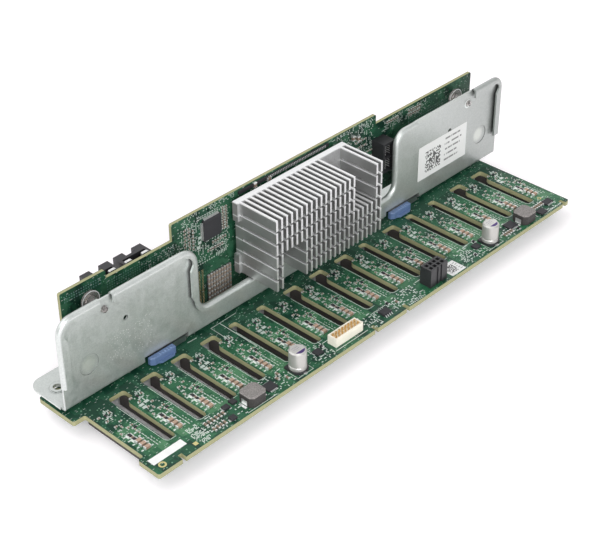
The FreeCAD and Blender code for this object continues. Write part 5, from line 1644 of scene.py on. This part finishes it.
@dataclass
class Cans:
    """Two capacitor cans, turned with a crimp groove and a printed top."""

    steps: int = 72
    shoulder: float = 0.6
    groove_foot: float = 1.2
    groove_depth: float = 0.35
    groove_width: float = 0.9
    foot: tuple = (1.5, 1.1, 0.35, 0.08)
    foot_out: float = 0.5

    def build(self) -> None:
        """Turn each can to its solid's own form, with finer steps, and set its feet."""
        for side in ("left", "right"):
            low, high = node_box(f"capacitor_can_{side}")
            x, y = (low[:2] + high[:2]) / 2
            radius, height = (high[0] - low[0]) / 2, high[2] - low[2]
            profile = [(radius, 0), (radius, self.groove_foot),
                       (radius - self.groove_depth, self.groove_foot + self.groove_width / 2),
                       (radius, self.groove_foot + self.groove_width),
                       (radius, height - self.shoulder), (radius - self.shoulder, height)]
            can = make_piece(f"can_{side}", lathe(profile, self.steps).moved(x, y, low[2]),
                             [CanSkin(f"can_skin_{side}", (x, y), high[2], radius)],
                             smooth=25)
            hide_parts(f"capacitor_can_{side}")
            front, back = node_box(f"capacitor_base_{side}")[:, 1]
            places = grid(x, (front - self.foot_out, back + self.foot_out))
            make_piece(f"can_feet_{side}", block(*self.foot).copies(places), [TIN])


@dataclass
class Coils:
    """Silver clips that fold up the two ends of each power inductor, on their lands."""

    thick: float = 0.18
    width: float = 3.2
    climb: float = 2.6
    tuck: float = 1.1
    bend: float = 0.35
    gap: float = 0.02
    pad: tuple = (1.2, 4.2)
    pad_out: float = 0.9

    def build(self) -> None:
        """Bend a ribbon under the coil and up its left and right faces.

        The bend is a quarter circle, (r - r sin t, r - r cos t), between two straight runs.
        """
        t = np.linspace(0, np.pi / 2, 5)
        bend = self.bend * np.column_stack([1 - np.sin(t), 1 - np.cos(t)])
        path = np.vstack([(self.tuck, 0.0), bend, (0.0, self.climb)])
        clip = ribbon(path + (-self.thick / 2, self.thick / 2), self.thick, self.width)
        for side in ("left", "right"):
            low, high = node_box(f"inductor_{side}")
            y = (low[1] + high[1]) / 2
            shell = joined(
                clip.copies([(low[0] - self.gap, y, 0), (high[0] + self.gap, y, 0)],
                            (0.0, np.pi)),
                land(*self.pad).copies(grid((low[0] - self.pad_out, high[0] + self.pad_out), y)))
            make_piece(f"inductor_clips_{side}", shell, [TIN], smooth=40)


@dataclass
class Expander:
    """Parts on the front and back of the upright board.

    Places on its front are x and z, and on its back x and -z. A row of chips is its columns,
    its rows and its turn, and a row of lands is a width, a depth, its columns and its rows.
    """

    wall: float = field(default_factory=lambda: float(node_box("expander_board")[0, 1]))
    back: float = field(default_factory=lambda: float(node_box("expander_board")[1, 1]))
    quad_lead: tuple = (0.95, 0.7, 0.24)
    quad_count: int = 18
    quad_pitch: float = 0.5
    array_part: tuple = (2.0, 0.9, 0.85, 0.24)
    array_columns: tuple = (88.4, 1.62, 9)
    array_rows: tuple = (5.6, 2.4, 6)
    # a dark sheet of painted shade under the capacitor array
    array_shade_sheet: tuple = (14.9, 14.6, 0.3, 94.9, 11.6, 0.06)
    contact: tuple = (1.1, 0.34)
    contact_columns: tuple = (83.2, 85.1)
    contact_rows: tuple = (5.4, 0.78, 23)
    chip: tuple = (1.5, 0.75, 0.55, 0.4)
    chip_rows: tuple = (
        (line(88.9, 1.45, 7), 31.2, UPRIGHT), (line(92.0, 1.5, 6), 34.3, UPRIGHT),
        ((98.4, 100.3), line(38.6, 1.3, 9), 0.0), ((75.9, 78.2), line(37.4, 1.7, 7), 0.0),
        (80.6, line(36.2, 1.9, 6), UPRIGHT), (line(223.8, 1.6, 6), (44.0, 46.0), UPRIGHT),
        (line(207.6, 1.5, 6), 46.4, UPRIGHT), (line(185.2, 2.2, 4), (41.0, 44.2), 0.0),
        (line(191.6, 2.2, 3), (36.4, 33.2, 30.0, 27.0), 0.0))
    tall_chip: tuple = (2.6, 1.7, 1.4, 0.6)
    tall_chips: tuple = ((182.8, 48.2, 0), (186.4, 46.6, 0), (118.0, 51.9, 0), (126.6, 51.4, 0))
    tall_turns: tuple = (UPRIGHT, UPRIGHT, UPRIGHT, 0.0)
    land_rows: tuple = ((0.6, 0.6, line(83.0, 1.35, 8), 26.2),
                        (0.45, 1.7, line(94.0, 0.95, 7), 26.9),
                        (0.9, 0.35, line(84.0, 1.45, 9), (50.1, 49.2)))
    blob: tuple = (1.9, 1.4)
    blobs: tuple = ((84.7, 39.8, 0), (84.5, 37.4, 0), (83.7, 35.2, 0))
    land_shapes: tuple = ((0.75, 0.32), (0.32, 0.75), (0.45, 0.45))
    land_step: float = 0.85
    land_areas: tuple = (
        ((72.6, 33.6), (84.4, 50.4), 120, 31), ((96.8, 28.4), (101.6, 49.6), 60, 32),
        ((175.2, 36.6), (197.4, 51.6), 110, 33), ((204.4, 42.8), (219.0, 47.6), 60, 34),
        ((222.0, 42.4), (236.4, 47.8), 70, 35), ((186.0, 18.0), (196.0, 40.0), 70, 36),
        ((83.6, 27.6), (101.0, 36.4), 80, 37), ((54.0, 38.6), (72.0, 43.8), 40, 38),
        ((74.0, 51.6), (122.0, 53.2), 60, 39), ((166.4, 51.2), (198.0, 53.0), 40, 40))
    via_rows: tuple = ((line(33.0, 1.25, 30), line(39.6, 1.3, 4)),
                       (line(11.0, 1.25, 16), line(44.6, 1.3, 3)),
                       (line(224.0, 1.4, 22), line(38.6, 1.4, 3)))
    via_size: float = 0.55
    via_corner: float = 0.2
    top_body: tuple = (58.0, 1.7, 0.3, 137.0, 52.15, 0.8)
    top_contact: tuple = ((-0.75, 0.9), (-0.3, 0.95), (0.35, 0.92), (0.55, 0.7))
    top_thick: float = 0.1
    top_width: float = 0.42
    top_columns: tuple = (126.6, 1.02, 37)
    top_row_z: float = 52.2
    rear_chip: tuple = (1.6, 0.8, 0.6, 0.4)
    rear_rows: tuple = ((line(70.0, 2.6, 8), line(-16.0, -3.2, 7)),
                        (line(178.0, 2.6, 9), line(-14.0, -3.0, 8)))
    rear_land: tuple = (0.7, 0.35)
    rear_step: float = 0.9
    rear_areas: tuple = (((64.0, -44.0), (96.0, -12.0), 150, 42),
                         ((206.0, -44.0), (250.0, -14.0), 190, 43),
                         ((180.0, -48.0), (198.0, -40.0), 60, 44))

    def put(self, name: str, shell: Shell, coats: list[Finish]) -> None:
        """Make a piece that stands on the board's front, as make_piece does."""
        make_piece(name, shell.standing(self.wall), coats)

    def quad_leads(self) -> None:
        """Gull-wing leads on the four sides of the square package."""
        low, high = node_box("qfp_chip")
        side = gull_wing(*self.quad_lead).copies(
            grid((high[0] - low[0]) / 2, row(self.quad_count, self.quad_pitch)))
        middle = ((low[0] + high[0]) / 2, (low[2] + high[2]) / 2, 0.0)
        self.put("quad_leads", side.copies([middle] * 4, np.arange(4) * UPRIGHT), [TIN])

    def capacitor_array(self) -> None:
        """A dense field of upright capacitors with silver ends, and gold contacts by it."""
        places = grid(line(*self.array_columns), line(*self.array_rows))
        self.put("array_capacitors", two_ended(*self.array_part).copies(places, UPRIGHT),
                 [PALE_TAN, TIN])
        # painted shade between the capacitors of the array
        self.put("array_shade_sheet", sheet(*self.array_shade_sheet), [DARK])
        places = grid(self.contact_columns, line(*self.contact_rows))
        self.put("array_contacts", land(*self.contact).copies(places), [GOLD])

    def chips(self) -> None:
        """Rows and clusters of chip parts round the square package and right of the sink."""
        part = two_ended(*self.chip)
        shells = [part.copies(grid(columns, rows), turn) for columns, rows, turn in self.chip_rows]
        self.put("expander_capacitors", joined(*shells), [BROWN, TIN])
        self.put("expander_tall_parts",
                 two_ended(*self.tall_chip).copies(self.tall_chips, self.tall_turns),
                 [BROWN, TIN])

    def lands(self) -> None:
        """Rows of dots, ticks and dashes, scattered lands, and fields of via dots."""
        shapes = tuple(land(*size) for size in self.land_shapes)
        shells = [land(width, depth).copies(grid(columns, rows))
                  for width, depth, columns, rows in self.land_rows]
        self.put("expander_lands",
                 joined(*shells, land(*self.blob).copies(self.blobs),
                        sprinkled(self.land_areas, self.land_step, shapes)),
                 [PAD])
        dot = prism(rounded(self.via_size, self.via_size, self.via_corner, 1), 0.0, PAPER_HEIGHT)
        self.put("expander_vias", dot.copies(np.vstack([grid(*rows) for rows in self.via_rows])),
                 [VIA])

    def top_row(self) -> None:
        """A low dark connector above the sink with a row of bright contacts along it."""
        self.put("top_connector", sheet(*self.top_body), [BLACK])
        places = grid(line(*self.top_columns), self.top_row_z)
        contact = ribbon(self.top_contact, self.top_thick, self.top_width)
        self.put("top_contacts", contact.copies(places, UPRIGHT), [TIN])

    def rear(self) -> None:
        """Parts and lands on the back of the upright board."""
        places = np.vstack([grid(*rows) for rows in self.rear_rows])
        shell = two_ended(*self.rear_chip).copies(places, quarter_turns(len(places), 41))
        make_piece("rear_capacitors", shell.behind(self.back), [BROWN, TIN])
        shell = sprinkled(self.rear_areas, self.rear_step, (land(*self.rear_land),))
        make_piece("rear_lands", shell.behind(self.back), [PAD])

    def build(self) -> None:
        """Make every piece of the upright board."""
        self.quad_leads()
        self.capacitor_array()
        self.chips()
        self.lands()
        self.top_row()
        self.rear()


@dataclass
class Connectors:
    """Contacts in the front connector and spring latches on the cable connectors."""

    blade: tuple = ((0.0, 0.0), (1.6, 0.06), (3.4, 0.3), (4.0, 0.12))
    blade_thick: float = 0.16
    blade_width: float = 0.5
    blade_columns: tuple = (2.6, 5.4)
    blade_depth: float = 5.0
    blade_count: int = 5
    blade_pitch: float = 1.2
    cavity_out: float = 3.7
    latch: tuple = ((-1.6, -2.0), (-1.6, 0.15), (-1.1, 0.28), (1.1, 0.28), (1.6, 0.15),
                    (1.6, -2.0))
    latch_thick: float = 0.22
    latch_width: float = 1.3
    latch_out: float = 4.6
    latch_depth: float = 2.4
    latch_sink: float = 0.1

    def front_port(self) -> None:
        """Bright contacts in the two cavities of the upright board's front connector."""
        low, high = node_box("expander_front_connector")
        middle = (low[2] + high[2]) / 2
        rows = [row(self.blade_count, self.blade_pitch, middle + out)
                for out in (-self.cavity_out, self.cavity_out)]
        blade = ribbon(self.blade, self.blade_thick, self.blade_width).changed(
            [[0, 0, 1], [1, 0, 0], [0, 1, 0]]).mirrored()
        places = [(low[0] + x, low[1] + self.blade_depth, z)
                  for x in self.blade_columns for z in np.concatenate(rows)]
        make_piece("front_port_contacts", blade.copies(places), [TIN])

    def cable_latches(self) -> None:
        """Two bent spring latches over each cable connector's top."""
        hook = ribbon(self.latch, self.latch_thick, self.latch_width)
        for name in ("inner", "outer"):
            low, high = node_box(f"cable_connector_{name}")
            middle = (low[0] + high[0]) / 2
            places = grid((middle - self.latch_out, middle + self.latch_out),
                          low[1] + self.latch_depth, high[2] - self.latch_sink)
            make_piece(f"cable_latch_{name}", hook.copies(places), [TIN],
                       smooth=40)

    def build(self) -> None:
        """Make every piece of the connectors."""
        self.front_port()
        self.cable_latches()


@dataclass
class Wall:
    """What is stuck on or set in the bracket's wall and flange.

    A ring, plain or of painted highlight, is its radius, its width and its height.
    """

    wall_front: float = 54.2
    flange_top: float = 2.4
    disc_front: float = 62.1
    label: tuple = (37.4, 19.0, 0.4, 239.0, 20.8)
    label_paper: Finish = LabelPaper("wall_label", Lie.UPRIGHT, (225.6, 14.2), (237.4, 26.0),
                                     0.74, (240.4, 14.0), (255.4, 28.6), 3.0)
    flange_ring: tuple = (2.9, 0.9, 0.04)
    flange_ring_place: tuple = (4.8, 68.0)
    wall_ring: tuple = (1.9, 0.8, 0.04)
    wall_ring_place: tuple = (257.2, 40.4)
    disc_highlight: tuple = (4.45, 0.3, 0.05)
    disc_places: tuple = ((22.2, 40.8, 0), (257.6, 40.8, 0))

    def build(self) -> None:
        """A white label, pale rings round two holes, and painted highlights on the two discs."""
        make_piece("wall_label", sheet(*self.label).standing(self.wall_front),
                   [self.label_paper])
        flat = ring(*self.flange_ring).moved(*self.flange_ring_place, self.flange_top)
        upright = ring(*self.wall_ring).moved(*self.wall_ring_place).standing(self.wall_front)
        make_piece("bracket_rings", joined(flat, upright), [PALE_RING])
        # rings of painted highlight on the clear standoff discs
        highlight_rings = ring(*self.disc_highlight).copies(self.disc_places).standing(self.disc_front)
        make_piece("standoff_highlights", highlight_rings, [RIM_HIGHLIGHT])


@dataclass
class LatchCaps:
    """Grip ridges on the two blue latch caps."""

    ridge: tuple = (0.5, 1.5, 0.22, 0.15)
    pitch: float = 1.5
    count: int = 5
    shift: float = 1.2
    inset: float = 1.9
    sink: float = 0.02

    def build(self) -> None:
        """Set a row of ridges along the front of each cap's top."""
        for side in ("left", "right"):
            low, high = node_box(f"release_cap_{side}")
            columns = row(self.count, self.pitch, (low[0] + high[0]) / 2 + self.shift)
            places = grid(columns, low[1] + self.inset, high[2] - self.sink)
            make_piece(f"cap_ridges_{side}", block(*self.ridge).copies(places), [BLUE_RIDGES_LIT],
                       f"latch_{side}")


@dataclass
class PushPins:
    """A coil spring under the head of each push pin."""

    turns: float = 4.0
    steps: int = 96
    sides: int = 6
    radius: float = 2.1
    wire: float = 0.22
    base_front: float = 58.7
    pin_inset: float = 2.8
    head_depth: float = 1.4

    def build(self) -> None:
        """Wind each spring from the sink's base to the pin's head.

        Point t of a spring is (r cos 2 pi n t, foot - length t, r sin 2 pi n t).
        """
        low, high = node_box("heat_sink_pins")
        t = np.linspace(0, 1, self.steps)
        angle = 2 * np.pi * self.turns * t
        foot, head = self.base_front - self.wire, low[1] + self.head_depth + self.wire
        coil = np.column_stack([self.radius * np.cos(angle), foot + (head - foot) * t,
                                self.radius * np.sin(angle)])
        corners = (low + self.pin_inset, high - self.pin_inset)
        shells = [tube(coil + (corner[0], 0, corner[2]), self.wire, self.sides)
                  for corner in corners]
        make_piece("pin_springs", joined(*shells), [TIN], smooth=60)


# ------------------------------------------------------------------ finishes of the solids

def solid_finishes() -> dict[str, Finish]:
    """The finish of each node.

    Returns:
        Each finish under the start of the names of its nodes.
    """
    board, expander = node_box("backplane_board"), node_box("expander_board")
    sink = node_box("heat_sink")
    return {
        "backplane_board": SolderMask("main_mask", Lie.FLAT, board[0, 2], board[1, 2]),
        # darker than the main board's mask: partly its own tone, partly painted shade on the
        # upright face
        "expander_board": SolderMask(
            "expander_mask_with_shade", Lie.UPRIGHT, expander[0, 1], expander[1, 1],
            dark=(0.005, 0.028, 0.018), mid=(0.014, 0.066, 0.034), light=(0.05, 0.15, 0.085)),
        "mounting_bracket": GalvanisedSheet(), "bracket_rivets": ZINC, "lever_pivot": ZINC,
        "release_lever": LEVER, "release_cap": BLUE, "heat_sink_pins": PIN_WHITE,
        "heat_sink": SawnAluminium("sawn_aluminium", sink[0, 2], sink[1, 2]),
        "standoff": CLEAR, "capacitor_can": TIN, "signal_header_pins": GOLD,
        "power_connector_pins": GOLD, "signal_header": CREAM, "inductor": FERRITE,
        "chip_capacitors": TAN, "qfp_chip": EPOXY, "so8_chip": EPOXY, "small_chips": EPOXY,
        "expander_chip": EPOXY, "thermal_pad": RUBBER, "drive_connector": RECEPTACLE,
        "": BLACK,
    }


def dress_solids() -> None:
    """Give every CAD node its finish, by the longest name in the table that it starts with."""
    finishes = solid_finishes()
    for name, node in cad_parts.items():
        key = max((k for k in finishes if name.startswith(k)), key=len)
        node.data.materials.clear()
        node.data.materials.append(finishes[key].material())
    LOG.info("solids: %d nodes dressed", len(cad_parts))


def main() -> None:
    """Build the studio and every piece."""
    logging.basicConfig(level=logging.INFO, format="%(name)s: %(message)s")
    Studio().build()
    dress_solids()
    for assembly in (Strips(), FrontEdge(), Cans(), Coils(), Expander(), Connectors(), Wall(),
                     LatchCaps(), PushPins()):
        assembly.build()
        LOG.info("%s built", type(assembly).__name__)


if __name__ == "__main__":
    main()
